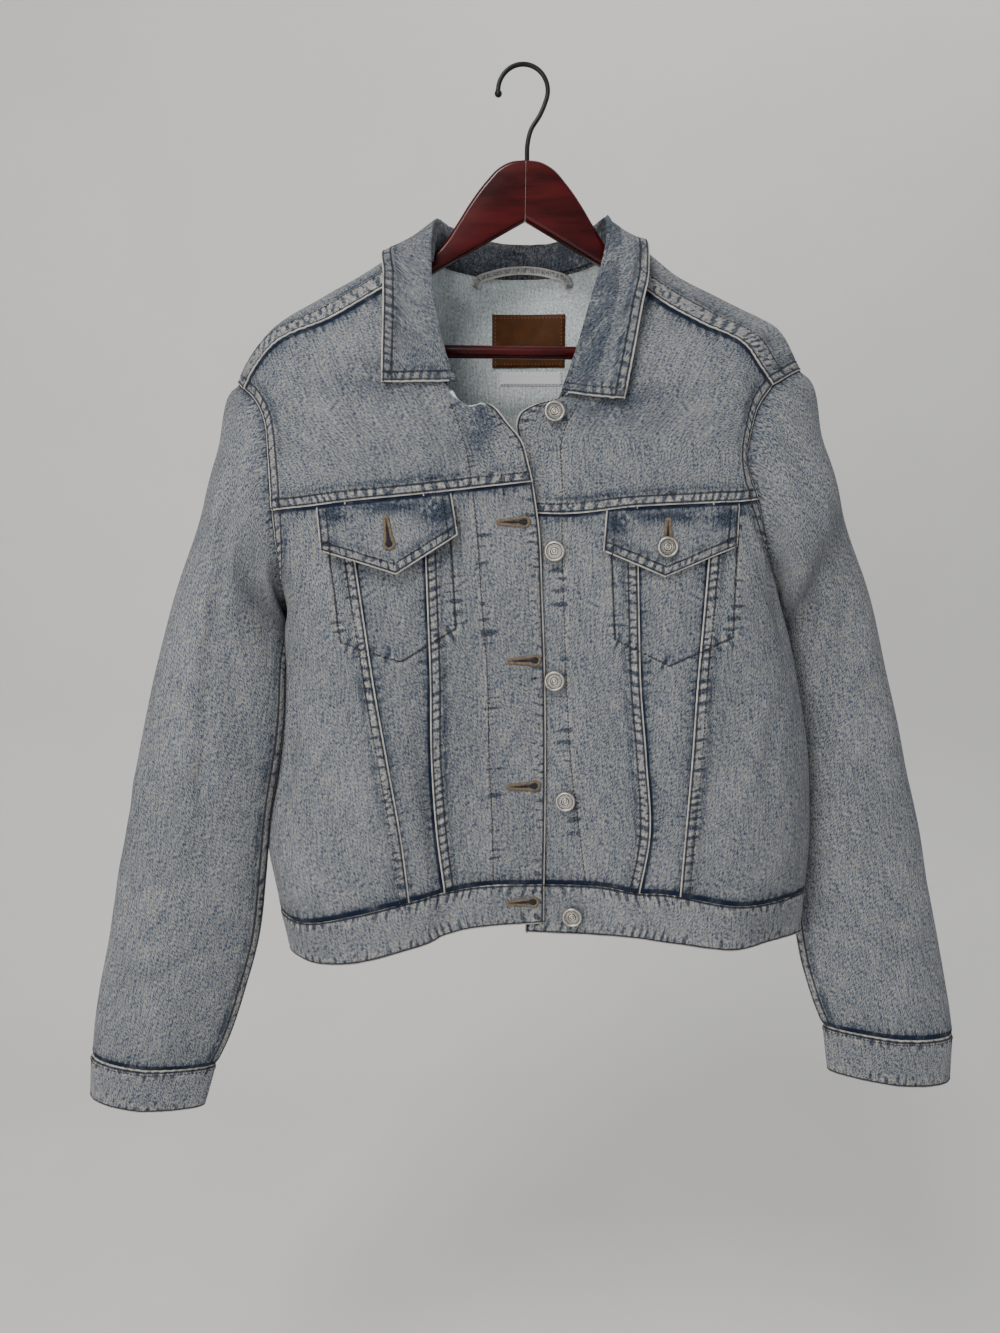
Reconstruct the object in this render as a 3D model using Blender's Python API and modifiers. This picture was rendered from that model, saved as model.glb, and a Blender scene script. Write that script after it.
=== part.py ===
"""Denim trucker jacket, hanging unbuttoned on a wooden hanger.

Metres, +Z up. The origin is the inside top of the hanger's hook, the hanger lies in the
plane Y = 0 and the jacket's front faces -Y. Names ending in _r are the wearer's right,
at -X, and names ending in _l the wearer's left, at +X. Every table below is in
millimetres, in the same frame, and is scaled once, when a mesh is made.

The cloth is one system of smooth surfaces. Each surface runs through columns, which are
curves down the garment, and is read at (s, t): s crosses from column to column, and t
goes down, with 0 at the shoulder, 1 at the yoke seam, 2 at the waistband seam and 3 at
the hem. Neighbouring panels read the same seam points, so their walls line up there.
"""

from collections import namedtuple
import math

import bmesh
import bpy
from mathutils import Vector
import numpy as np

MM = 0.001
SEAM_GAP = 0.4
LAY_GAP = 0.4
BAG_GAP = 1.0
DENIM = 1.2
DOUBLED = 2.4
COLLAR_WALL = 2.0
COLLAR_LIES = 2.2
COLLAR_GAP = 2.4
COLLAR_END_GAP = 5.4
FLAP_WALL = 1.7
BAG_WALL = 1.0
LOOP_SIZE = (1.6, 7.0)
PATCH_WALL = 1.5
LABEL_WALL = 1.0
BUTTON_RADIUS = 8.6
BUTTON_HEAD = 3.2
BUTTON_STANDOFF = 3.2
LOW_STANDOFF = 1.0
BOARD = 12.0
BAR_RADIUS = 5.4
WIRE_RADIUS = 1.95
HANGER_TILT = math.radians(0.7)
BOARD_EDGE = 3.0
ARMHOLE_STEP = 4.5
ARMHOLE_GAP = 0.7
SLEEVE_NARROWS = 0.35

Level = namedtuple("Level", "t side turn flank swell outer_v inner_v placket edge")
Back = namedtuple("Back", "t side_r turn_r flank_r mid_r centre mid_l flank_l turn_l side_l")
Drape = namedtuple("Drape", "s seam ridge behind middle low")
Fold = namedtuple("Fold", "at apex edge")
Ring = namedtuple("Ring", "outer_x outer_z inner_x inner_z y depth")
Pocket = namedtuple("Pocket", "top_out top_in low_out point low_in")

# Where the columns of a front cross it, from the side to the front edge. The V seams
# and the placket's stitch line are columns of their own.
FRONT_S = (0.0, 0.1, 0.2, 0.3, 0.4, 0.6, 0.85, 1.0)
OUTER_V, INNER_V = 0.4, 0.6
UNDERARM = 1.27

# Heights (z) of a front's columns at the yoke seam, waistband seam and hem.
FRONT_R_Z = (
    Level(1.0, -361, -359.5, -358, -356, -354, -348, -343.5, -338),
    Level(2.0, -704, -705, -704, -694, -683, -678, -674, -675),
    Level(3.0, -748, -744, -742, -736, -726, -716, -711, -710),
)
FRONT_L_Z = (
    Level(1.0, -352, -353, -354, -354.5, -355, -358, -363.7, -362),
    Level(2.0, -689, -689, -689, -686, -678, -678, -675, -677),
    Level(3.0, -731, -729, -726, -725.5, -722, -720, -720.5, -721),
)

# Plan (x, y) of each column at each level: yoke seam, armhole, underarm, ribs, waist,
# below the waist, waistband seam and hem.
FRONT_R = (
    Level(1.00, (-207.8, -60), (-194, -65), (-178, -67.5), (-162, -68.5), (-146, -69.5),
          (-84, -70), (-44.4, -66), (4.1, -64)),
    Level(1.11, (-206, -53), (-196, -63), (-178, -68), (-160, -70), (-140.5, -71),
          (-83, -70.5), (-41, -67), (9.5, -62.5)),
    Level(1.27, (-207, -4), (-203, -38), (-181, -59), (-157, -69), (-133, -74),
          (-81.5, -71), (-37.5, -67.5), (12.4, -61.5)),
    Level(1.45, (-211, 3), (-208, -34), (-184, -57), (-154.5, -69), (-124.5, -78),
          (-79.7, -72), (-33, -67.5), (14.8, -61.5)),
    Level(1.65, (-219, 5), (-216, -35), (-189, -60), (-151, -73), (-113.5, -81.5),
          (-79.4, -73), (-31.7, -67.5), (16, -61.5)),
    Level(1.85, (-226, 0), (-222, -42), (-193, -68), (-148, -78), (-103, -82.5),
          (-75.5, -73), (-29, -67.5), (16, -61.5)),
    Level(2.00, (-221, -14), (-210, -52), (-184, -75), (-142, -83.5), (-97.5, -82),
          (-69.4, -73.5), (-28, -67), (15.5, -61.5)),
    Level(3.00, (-213, -16), (-203, -46), (-177, -73), (-140, -85), (-96, -80),
          (-68, -74), (-30, -67), (15.5, -61.5)),
)
FRONT_L = (
    Level(1.00, (187.8, -56), (180, -60), (171, -63), (160, -65), (148.6, -66),
          (88.2, -68), (27.8, -60), (-18, -55)),
    Level(1.11, (198, -49), (192, -59), (177, -66), (161, -69), (146, -69.5),
          (89, -70), (28.5, -60), (-19, -55)),
    Level(1.27, (213, -12), (216, -36), (193, -60), (167, -70), (142.5, -71.5),
          (90.7, -70.5), (30.3, -60), (-19.5, -55)),
    Level(1.45, (227, -12), (232, -34), (206, -60), (172, -71), (138, -75),
          (93, -72), (32.8, -60), (-17, -55)),
    Level(1.65, (239, -14), (243, -34), (215, -62), (177, -75), (134.3, -79),
          (98.7, -74), (36.5, -61), (-13, -55)),
    Level(1.85, (243, -16), (247, -36), (219, -66), (179, -80), (130, -81),
          (102.5, -75), (44.5, -63), (-5, -55)),
    Level(2.00, (240, -18), (244, -38), (210, -66), (172, -83), (126.9, -82),
          (94.9, -75), (50.4, -64), (0, -55)),
    Level(3.00, (237, -18), (242, -36), (208, -64), (172, -84), (128, -80),
          (96, -73), (50, -62), (-1, -55)),
)

# The back: plan and height of each column at the same levels.
BACK_S = (0.0, 0.06, 0.15, 0.3, 0.5, 0.7, 0.85, 0.94, 1.0)
BACK_Z = (
    Back(1.0, -283, -283, -282.5, -282, -282, -282, -282.5, -283, -283),
    Back(1.13, -372, -372, -371, -370, -370, -370, -371, -372, -372),
    Back(1.27, -453.6, -453, -452, -451, -450, -449, -447, -444, -442.9),
    Back(2.0, -704, -702, -698, -694, -692, -690, -689, -689, -689),
    Back(3.0, -748, -746, -740, -736, -733, -731, -730, -730, -731),
)
BACK = (
    Back(1.00, (-231, 22), (-215, 34), (-185, 42), (-105, 46), (-6, 47), (92, 46),
         (172, 42), (202, 33), (217, 22)),
    Back(1.13, (-216, 37), (-203, 47), (-178, 52), (-108, 53), (-6, 51), (96, 53),
         (172, 50), (198, 41), (208, 30)),
    Back(1.27, (-207, -4), (-200, 30), (-176, 48), (-111, 54), (-4, 53), (103, 54),
         (180, 44), (206, 18), (213, -12)),
    Back(1.45, (-211, 3), (-204, 31), (-180, 46), (-113, 52), (0, 51), (113, 52),
         (190, 39), (218, 12), (227, -12)),
    Back(1.65, (-219, 5), (-212, 33), (-186, 47), (-114, 52), (6, 50), (124, 51),
         (199, 36), (228, 8), (239, -14)),
    Back(1.85, (-226, 0), (-218, 30), (-190, 45), (-114, 50), (10, 48), (132, 48),
         (203, 33), (231, 6), (243, -16)),
    Back(2.00, (-221, -14), (-212, 20), (-183, 38), (-110, 46), (11, 46), (131, 45),
         (198, 29), (228, 3), (240, -18)),
    Back(3.00, (-213, -16), (-206, 16), (-179, 35), (-108, 44), (11, 44), (130, 43),
         (195, 26), (225, 2), (237, -18)),
)

# The back yoke's columns, from the front shoulder seam over the ridge and down the back,
# or from the neckline down. NECK is where the neck points lie across it.
NECK_R, NECK_L = 0.32, 0.68
BACK_YOKE = (
    Drape(0.0, (-236.5, -21, -260), (-244, -8, -254), (-243, 4, -260), (-238, 13, -270),
          (-231, 22, -283)),
    Drape(0.06, (-226, -28, -245), (-230, -8, -228), (-229, 9, -238), (-223, 24, -258),
          (-215, 34, -283)),
    Drape(0.12, (-209, -31, -226), (-211, -4, -204.5), (-209, 13, -213), (-204, 29, -242),
          (-197, 39, -282.7)),
    Drape(0.22, (-160, -31, -204), (-162, -3, -177.8), (-161, 16, -189), (-157, 35, -228),
          (-150, 44, -282.3)),
    Drape(0.32, (-90, -23, -163), (-89, -2, -142), (-92, 16, -156), (-98, 37, -210),
          (-98, 46, -282)),
    Drape(0.35, (-83, -3, -135.5), (-84, 8, -141), (-87, 20, -160), (-89, 38, -215),
          (-87, 46.2, -282)),
    Drape(0.39, (-76, 21, -149), (-76, 27, -158), (-76, 35, -180), (-75, 43, -225),
          (-72, 46.6, -282)),
    Drape(0.44, (-45, 37, -156), (-45, 39, -164), (-45, 42, -184), (-44, 46, -228),
          (-43, 47, -282)),
    Drape(0.5, (-6, 44, -157.5), (-6, 45, -165), (-6, 46, -185), (-6, 48, -230),
          (-6, 47, -282)),
    Drape(0.56, (32, 37, -156), (32, 39, -164), (32, 42, -184), (31, 46, -228),
          (30, 47, -282)),
    Drape(0.61, (65, 21, -147), (65, 27, -157), (64, 35, -180), (61, 43, -225),
          (58, 46.6, -282)),
    Drape(0.65, (74, -3, -130.5), (74, 8, -137), (74, 20, -158), (74, 38, -215),
          (72, 46.2, -282)),
    Drape(0.68, (79, -23, -166), (80, -2, -139.5), (80, 16, -155), (83, 37, -210),
          (82, 46, -282)),
    Drape(0.78, (141, -31, -208), (142, -3, -173.2), (142, 16, -187), (139, 35, -228),
          (134, 44, -282.3)),
    Drape(0.88, (180, -33, -228), (203, -4, -204), (199, 13, -214), (192, 29, -243),
          (184, 39, -282.7)),
    Drape(0.94, (191, -33, -243), (219, -8, -220), (217, 9, -234), (211, 24, -257),
          (202, 33, -283)),
    Drape(1.0, (203, -31, -258), (231, -9, -243), (230, 4, -252), (225, 13, -267),
          (217, 22, -283)),
)

# The front yokes' columns below the shoulder seam, each a curve of its own points.
YOKE_S = (0.0, 0.2, 0.4, 0.6, 0.85, 1.0)
YOKE_R = (
    ((-236.5, -21, -260), (-229, -28, -266), (-215, -44, -288), (-210.7, -54, -319),
     (-209.4, -58, -338), (-207.8, -60, -361)),
    ((-205, -32, -224), (-198, -48, -262), (-187, -60, -310), (-178, -67.5, -358)),
    ((-164, -31, -206), (-158, -52, -255), (-151, -64, -305), (-146, -69.5, -354)),
    ((-125, -28, -184), (-110, -50, -234), (-95, -63, -290), (-84, -70, -348)),
    ((-101, -24, -170), (-84, -45, -222), (-62, -54, -274), (-50, -61, -310.6),
     (-44.4, -66, -343.5)),
    ((-90, -23, -163), (-84, -33, -193), (-77, -43, -231), (-68.5, -48.5, -259),
     (-58, -53, -269), (-47, -57, -277.5), (-31, -63.5, -277), (-15, -66.5, -293.6),
     (-4.9, -66, -306), (0.4, -65, -323), (4.1, -64, -338)),
)
YOKE_L = (
    ((203, -31, -258), (188, -43, -278), (181, -50, -300), (178, -54, -319),
     (184, -56, -341), (187.8, -56, -352)),
    ((179, -32, -228), (172, -48, -264), (170, -58, -310), (171, -63, -354)),
    ((143, -31, -209), (146, -50, -258), (148, -61, -305), (148.6, -66, -355)),
    ((108, -28, -190), (99, -48, -240), (92, -62, -296), (88.2, -68, -358)),
    ((87, -24, -173), (64, -45, -225), (41, -53, -272), (28, -57, -300),
     (28, -59, -345), (27.8, -60, -363.7)),
    ((79, -23, -166), (66, -31, -190), (52, -40, -222), (41, -46, -250),
     (34, -49, -266), (22, -53, -272), (4, -56, -277), (-7, -57, -284),
     (-9.6, -57, -292), (-8, -56, -304), (-12, -55, -328), (-18, -55, -362)),
)
SHOULDER_SEAM_R = ((-236.5, -21, -260), (-226, -28, -245), (-209, -31, -226),
                   (-160, -31, -204), (-122, -27, -182), (-90, -23, -163))
SHOULDER_SEAM_L = ((203, -31, -258), (191, -33, -243), (180, -33, -228),
                   (141, -31, -208), (107, -28, -189), (79, -23, -166))

# The collar: where it stops on the fronts, and its fold's apex and outer edge at
# stations along the neckline, from the wearer's right end to the left.
COLLAR_END_R, COLLAR_END_L = 0.435, 0.48
COLLAR = (
    Fold(0.00, (-57.5, -54.5, -258), (-116.5, -65, -260)),
    Fold(0.10, (-66, -51, -234), (-116.5, -58, -232)),
    Fold(0.20, (-74.5, -42, -196), (-116.5, -46, -196)),
    Fold(0.28, (-78, -31, -165), (-117, -37, -171)),
    Fold(0.36, (-76, -5, -120.5), (-117.5, -6, -147.5)),
    Fold(0.42, (-63.5, 21, -119.5), (-93, 40, -171)),
    Fold(0.48, (-34, 37, -126), (-50, 56, -190)),
    Fold(0.535, (-3, 42.5, -128), (-5, 59, -193)),
    Fold(0.59, (30, 37, -127), (40, 56, -190)),
    Fold(0.65, (56, 21, -119), (77, 40, -171)),
    Fold(0.705, (66.5, -5, -119), (98.5, -6, -138)),
    Fold(0.76, (62.5, -28, -150), (98, -38, -167)),
    Fold(0.83, (52, -39, -187), (92, -47, -197)),
    Fold(0.91, (39.5, -47, -229), (84, -59, -236)),
    Fold(1.00, (26.5, -55, -266.5), (76.5, -66, -273)),
)

# The sleeves, ring by ring below the armhole: the ends across the ring, its centre's y
# and its half depth.
SLEEVE_R = (
    Ring(-262, -315, -210.5, -460, -10, 47),
    Ring(-281, -384, -210.5, -468, -20, 41),
    Ring(-298, -438, -211, -481, -32, 34),
    Ring(-310, -484, -212, -502, -40, 30.5),
    Ring(-325, -540, -214.5, -552, -44, 28.5),
    Ring(-340, -602, -221.5, -612, -43, 28),
    Ring(-354.5, -664, -227, -672, -41, 27.5),
    Ring(-366.5, -722, -235, -729, -39, 27),
    Ring(-376.5, -772, -249.5, -780, -38, 26.5),
    Ring(-383.5, -812, -264, -822, -37, 25),
    Ring(-387.5, -840, -278, -851, -36, 22.5),
)
SLEEVE_L = (
    Ring(250, -308, 220, -446, -10, 42),
    Ring(271.5, -372, 224, -455, 4, 34),
    Ring(296, -420, 229, -468, 10, 31),
    Ring(313, -468, 232, -494, 13, 29),
    Ring(328, -522, 234, -544, 13, 28),
    Ring(341.5, -578, 237, -598, 9, 28),
    Ring(355.5, -640, 243, -656, 5, 27.5),
    Ring(367.5, -700, 246.5, -712, 1, 27),
    Ring(377.5, -752, 253, -760, -6, 26.5),
    Ring(385.5, -798, 264, -800, -13, 25),
    Ring(389, -830, 273, -823, -18, 22.5),
)
CUFF_R = (Ring(-387.6, -840.8, -278.6, -851.5, -36, 23.1),
          Ring(-390.5, -880, -290.5, -891, -36, 22.5))
CUFF_L = (Ring(389.3, -830.9, 273.6, -823.6, -18, 23.1),
          Ring(389.5, -876, 280, -868, -18, 22.5))
SLEEVE_BACK_SEAM = 0.82

# What lies on the fronts, as (x, z) seen from the front. "out" is the side seam's side.
FLAP_R = Pocket((-169.5, -358.6), (-61.6, -347.4), (-164.5, -393), (-105.7, -412),
                (-57, -380.5))
FLAP_L = Pocket((170, -355.6), (63.2, -361), (167.1, -390), (109.9, -414), (61.3, -393))
BAG_R = Pocket((-163, -366), (-63.5, -356), (-152.3, -467), (-102.6, -482.5),
               (-58.2, -456))
BAG_L = Pocket((169, -362), (66, -368), (167, -463), (115.4, -486), (71.2, -465))
FLAP_LIFT = {"r": 7.4, "l": 2.6}
FRONT_BUTTONS = ((20.9, -283), (22.3, -393.5), (23, -500), (33, -601.7), (39.6, -702.5))
POCKET_BUTTON_R = (-110.5, -396)
POCKET_BUTTON_L = (111.3, -390.3)

# Inside the back yoke, as (low x, high x, high z, low z).
PATCH = (-29.6, 35.4, -187, -232.5)
LABEL = (-22.7, 33.9, -236.4, -248.4)
LOOP_PATH = ((-44, 2, -166), (-41, 4.3, -160), (-30, 8, -156), (-12, 10.5, -152.6),
             (6, 10.5, -152.6), (24, 8, -156), (35, 4.3, -160), (38, 2, -166))

# The hanger's board, as (x, z) of one arm's outline, and its bar and hook.
ARM_TOP = ((0.15, -73.2), (12, -74.6), (22, -79.5), (33, -90.5), (45, -106),
           (57, -124.5), (66, -138), (76, -148.5), (90, -156), (120, -167),
           (150, -181.5), (180, -197.5), (203, -210.5))
ARM_TIP = ((211, -218), (213, -227), (207, -238))
ARM_FOOT = ((197, -241), (181, -239), (176, -233), (176, -220))
ARM_UNDER = ((172, -216), (140, -200), (110, -183), (77.5, -164), (57, -152.5),
             (32, -138.5), (14, -128.5), (0.15, -121))
BAR_Z, BAR_END = -227.0, 175.6
HOOK_CENTRE = (-3.5, -18.6)
HOOK_RADIUS = 20.4
HOOK_TIP, HOOK_TURN = math.radians(186), math.radians(-22)
STEM = ((10.5, -37.5), (3.2, -49), (0.4, -60), (0, -72.6))
BALL_RADIUS = 3.1

# Mesh fineness: rows and columns of the panels, and sides of the round pieces.
FRONT_YOKE_ROWS = 8
BACK_YOKE_ROWS = (0, 0.11, 0.17, 0.2, 0.24, 0.32, 0.42, 0.55, 0.7, 0.85, 1)
ARMHOLE_ROWS = 4
SIDE_ROWS = 10
SIDE_COLUMNS, MIDDLE_COLUMNS, CENTRE_COLUMNS = 6, 3, 5
NECK_COLUMNS = 14
COLLAR_STEPS = (0, 0.14, 0.26, 0.33, 0.39, 0.46, 0.56, 0.7, 0.85, 1)
COLLAR_APEX = 3
TURNS = 14


def spline(knots, points, at):
    """Points on the smooth curve through the given ones. A knot given twice is a corner."""
    knots = np.asarray(knots, float)
    points = np.asarray(points, float)
    at = np.atleast_1d(np.asarray(at, float))
    found = np.empty(at.shape + points.shape[1:])
    corners = [i + 1 for i in range(len(knots) - 1) if knots[i] == knots[i + 1]]
    for first, end in zip([0] + corners, corners + [len(knots)]):
        low = -np.inf if first == 0 else knots[first]
        inside = (at >= low) & (at <= (np.inf if end == len(knots) else knots[end - 1]))
        if inside.any():
            found[inside] = smooth_run(knots[first:end], points[first:end], at[inside])
    return found


def smooth_run(knots, points, at):
    """Cubic Hermite curve whose slope at each point comes from its two neighbours."""
    steps = np.diff(knots)
    shape = (-1,) + (1,) * (points.ndim - 1)
    slopes = np.diff(points, axis=0) / steps.reshape(shape)
    tangents = np.empty_like(points)
    tangents[0], tangents[-1] = slopes[0], slopes[-1]
    if len(knots) > 2:
        before, after = steps[:-1].reshape(shape), steps[1:].reshape(shape)
        tangents[1:-1] = (after * slopes[:-1] + before * slopes[1:]) / (before + after)
    index = np.clip(np.searchsorted(knots, at, side="right") - 1, 0, len(knots) - 2)
    span = steps[index].reshape(shape)
    u = ((at - knots[index]) / steps[index]).reshape(shape)
    start, stop = points[index], points[index + 1]
    leave, arrive = tangents[index] * span, tangents[index + 1] * span
    return ((2 * u**3 - 3 * u**2 + 1) * start + (u**3 - 2 * u**2 + u) * leave
            + (3 * u**2 - 2 * u**3) * stop + (u**3 - u**2) * arrive)


def along(points, at):
    """Points at fractions of the length of the smooth curve through the given ones."""
    points = np.asarray(points, float)
    lengths = np.linalg.norm(np.diff(points, axis=0), axis=1)
    return spline(np.concatenate([[0], np.cumsum(lengths)]) / lengths.sum(), points, at)


def unit(vectors):
    return vectors / np.linalg.norm(vectors, axis=-1, keepdims=True)


def level_points(plan, heights):
    """(t, columns x 3) knots of a table of plans, with the heights read between theirs."""
    known = [row.t for row in heights]
    knots = [row.t for row in plan]
    z = np.array([row[1:] for row in heights], float)
    points = [
        np.column_stack([np.array(row[1:], float), [np.interp(row.t, known, z[:, c])
                                                    for c in range(z.shape[1])]])
        for row in plan
    ]
    return knots, np.array(points)


class Surface:
    """A smooth surface through columns, each given by its knots and its points."""

    def __init__(self, stations, columns):
        self.stations = stations
        self.columns = columns

    def at(self, s, t):
        s, t = np.broadcast_arrays(np.asarray(s, float), np.asarray(t, float))
        weights = spline(self.stations, np.eye(len(self.stations)), s.ravel())
        lines = np.array([spline(knots, points, t.ravel()) for knots, points in self.columns])
        return np.einsum("nc,cnd->nd", weights, lines).reshape(s.shape + (3,))


def body_surface(stations, plan, heights):
    """A surface below the yoke seam. Its side columns turn a corner at the underarm."""
    knots, points = level_points(plan, heights)
    columns = []
    for c in range(points.shape[1]):
        column_knots, column = list(knots), list(points[:, c])
        corners = [2.0]
        if c == 0 or (len(stations) == len(BACK_S) and c == points.shape[1] - 1):
            corners.append(UNDERARM)
        for corner in corners:
            i = column_knots.index(corner)
            column_knots.insert(i, corner)
            column.insert(i, column[i])
        columns.append((column_knots, np.array(column)))
    return Surface(stations, columns)


def even(points):
    """A column whose points are spaced by the length between them, from t = 0 to 1."""
    points = np.asarray(points, float)
    lengths = np.linalg.norm(np.diff(points, axis=0), axis=1)
    return np.concatenate([[0], np.cumsum(lengths)]) / lengths.sum(), points


class Cloth:
    """A front or the back: its yoke, and below it the body, read as one surface."""

    def __init__(self, yoke, body, top_edge, outward):
        self.yoke = yoke
        self.body = body
        self.top_edge = top_edge
        self.outward = outward

    def at(self, s, t):
        s, t = np.broadcast_arrays(np.asarray(s, float), np.asarray(t, float))
        points = self.body.at(s, np.maximum(t, 1.0))
        high = t < 1.0
        if high.any():
            across, down = s[high], t[high]
            plain = self.yoke.at(across, down)
            low_miss = self.body.at(across, 1.0 + 0 * down) - self.yoke.at(across, 1.0 + 0 * down)
            seam, known = self.top_edge(across)
            top_miss = np.where(known[:, None], seam - self.yoke.at(across, 0 * down), 0)
            points[high] = (plain + low_miss * down[:, None] ** 3
                            + top_miss * (1 - down[:, None]) ** 3)
        return points

    def normal(self, s, t, step=0.004):
        s, t = np.broadcast_arrays(np.asarray(s, float), np.asarray(t, float))
        across = (self.at(np.clip(s + step, 0, 1), t) - self.at(np.clip(s - step, 0, 1), t))
        down = (self.at(s, np.clip(t + step, 0, 3)) - self.at(s, np.clip(t - step, 0, 3)))
        return unit(np.cross(across, down)) * self.outward

    def find(self, x, z, s=0.5, t=1.3):
        """(s, t) of the points that lie at x and z, by Newton's steps."""
        x, z = np.broadcast_arrays(np.asarray(x, float), np.asarray(z, float))
        s = np.full(x.shape, float(s))
        t = np.full(x.shape, float(t))
        step = 0.003
        for _ in range(14):
            here = self.at(s, t)
            by_s = (self.at(s + step, t) - here) / step
            by_t = (self.at(s, t + step) - here) / step
            miss_x, miss_z = x - here[..., 0], z - here[..., 2]
            scale = by_s[..., 0] * by_t[..., 2] - by_s[..., 2] * by_t[..., 0]
            s = np.clip(s + np.clip((miss_x * by_t[..., 2] - miss_z * by_t[..., 0]) / scale,
                                    -0.1, 0.1), 0, 1)
            t = np.clip(t + np.clip((by_s[..., 0] * miss_z - by_s[..., 2] * miss_x) / scale,
                                    -0.1, 0.1), 0, 3)
        return s, t


def make_front(plan, heights, yoke, seam, outward):
    def top_edge(s):
        return along(seam, s), np.ones(s.shape, bool)

    body = body_surface(FRONT_S, plan, heights)
    return Cloth(Surface(YOKE_S, [even(column) for column in yoke]), body, top_edge, outward)


def make_back():
    def top_edge(s):
        right = along(SHOULDER_SEAM_R, np.clip(s / NECK_R, 0, 1))
        left = along(SHOULDER_SEAM_L, np.clip((1 - s) / (1 - NECK_L), 0, 1))
        known = (s <= NECK_R) | (s >= NECK_L)
        return np.where((s <= NECK_R)[:, None], right, left), known

    columns = [((0, 0.2, 0.4, 0.7, 1.0), np.array(row[1:], float)) for row in BACK_YOKE]
    yoke = Surface([row.s for row in BACK_YOKE], columns)
    return Cloth(yoke, body_surface(BACK_S, BACK, BACK_Z), top_edge, 1)


FRONTS = {
    "r": make_front(FRONT_R, FRONT_R_Z, YOKE_R, SHOULDER_SEAM_R, -1),
    "l": make_front(FRONT_L, FRONT_L_Z, YOKE_L, SHOULDER_SEAM_L, 1),
}
BACK_CLOTH = make_back()


def material(name, colour, roughness, metallic=0.0):
    made = bpy.data.materials.get(name) or bpy.data.materials.new(name)
    made.use_nodes = True
    shader = made.node_tree.nodes["Principled BSDF"]
    shader.inputs["Base Color"].default_value = (*colour, 1)
    shader.inputs["Roughness"].default_value = roughness
    shader.inputs["Metallic"].default_value = metallic
    return made


def materials():
    return {
        "denim": material("washed denim", (0.21, 0.23, 0.25), 0.9),
        "leather": material("brown leather", (0.065, 0.025, 0.008), 0.55),
        "label": material("white woven label", (0.6, 0.6, 0.62), 0.8),
        "metal": material("silver metal", (0.58, 0.56, 0.52), 0.35, 1.0),
        "wood": material("mahogany lacquer", (0.035, 0.002, 0.002), 0.2),
        "wire": material("black wire", (0.01, 0.01, 0.011), 0.4, 0.6),
    }


def add_object(name, mesh, finish, jacket):
    made = bpy.data.objects.new(name, mesh)
    made.data.materials.append(finish)
    jacket.objects.link(made)
    return made


def mesh_from(name, points, faces):
    mesh = bpy.data.meshes.new(name)
    mesh.from_pydata((np.asarray(points) * MM).tolist(), [], faces)
    shell = bmesh.new()
    shell.from_mesh(mesh)
    bmesh.ops.recalc_face_normals(shell, faces=shell.faces)
    shell.to_mesh(mesh)
    shell.free()
    mesh.shade_smooth()
    mesh.set_sharp_from_angle(angle=math.radians(40))
    return mesh


def wall_mesh(name, outer, inner, ring=False):
    """A closed wall between two like grids of points, or a tube's where ring is true.

    Both sides are split along the same diagonals, so that a twisted wall stays even.
    """
    rows, columns = outer.shape[:2]
    points = np.concatenate([outer.reshape(-1, 3), inner.reshape(-1, 3)])
    inside = rows * columns

    def corner(i, j):
        return (i % rows) * columns + j

    faces = []
    for i in range(rows if ring else rows - 1):
        for j in range(columns - 1):
            a, b, c, d = (corner(i, j), corner(i + 1, j), corner(i + 1, j + 1),
                          corner(i, j + 1))
            for face in ((a, b, c), (a, c, d)):
                faces.append(face)
                faces.append(tuple(inside + k for k in reversed(face)))
        for j in (0, columns - 1):
            a, b = corner(i, j), corner(i + 1, j)
            faces.append((a, b, inside + b, inside + a))
    for i in () if ring else (0, rows - 1):
        for j in range(columns - 1):
            a, b = corner(i, j), corner(i, j + 1)
            faces.append((a, b, inside + b, inside + a))
    return mesh_from(name, points, faces)


class Panel:
    """A grid of a piece's outer points, its thickness, and which edges meet a seam."""

    def __init__(self, points, thick=DENIM, ring=False, outward=1):
        self.points = points
        self.thick = thick
        self.ring = ring
        self.normals = self.own_normals() * outward

    def own_normals(self):
        grid = self.points
        if self.ring:
            across = np.roll(grid, -1, axis=0) - np.roll(grid, 1, axis=0)
        else:
            across = np.gradient(grid, axis=0)
        return unit(np.cross(across, np.gradient(grid, axis=1)))

    def grids(self):
        """Outer and inner points, drawn back from each edge by half the seam's gap."""
        outer = self.points.copy()
        inner = self.points - self.thick * self.normals
        for grid in (outer, inner):
            draw_back(grid, (1,) if self.ring else (0, 1))
        return outer, inner


def draw_back(grid, axes):
    for axis in axes:
        lines = np.moveaxis(grid, axis, 0)
        for edge, nxt in ((0, 1), (-1, -2)):
            lines[edge] += unit(lines[nxt] - lines[edge]) * SEAM_GAP / 2


def share_normals(panels):
    """Gives panels that meet at a point the same normal there, the average of theirs."""
    sums = {}
    for panel in panels:
        keys = np.round(panel.points * 100).astype(int).reshape(-1, 3)
        for key, normal in zip(map(tuple, keys), panel.normals.reshape(-1, 3)):
            sums[key] = sums.get(key, 0) + normal
    for panel in panels:
        keys = np.round(panel.points * 100).astype(int).reshape(-1, 3)
        shared = np.array([sums[key] for key in map(tuple, keys)])
        panel.normals = unit(shared).reshape(panel.points.shape)


def steps(low, high, count):
    return np.linspace(low, high, count + 1)


def grid_of(cloth, s, t):
    return cloth.at(s[:, None], t[None, :])


def body_rows(count_high):
    """t down a front or the back, with a row at the underarm."""
    high = steps(1.0, UNDERARM, count_high)
    return np.concatenate([high[:-1], steps(UNDERARM, 2.0, SIDE_ROWS)])


def front_columns():
    side = steps(0, OUTER_V, SIDE_COLUMNS)
    middle = steps(OUTER_V, INNER_V, MIDDLE_COLUMNS)
    centre = steps(INNER_V, 1.0, CENTRE_COLUMNS)
    return side, middle, centre


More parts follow.
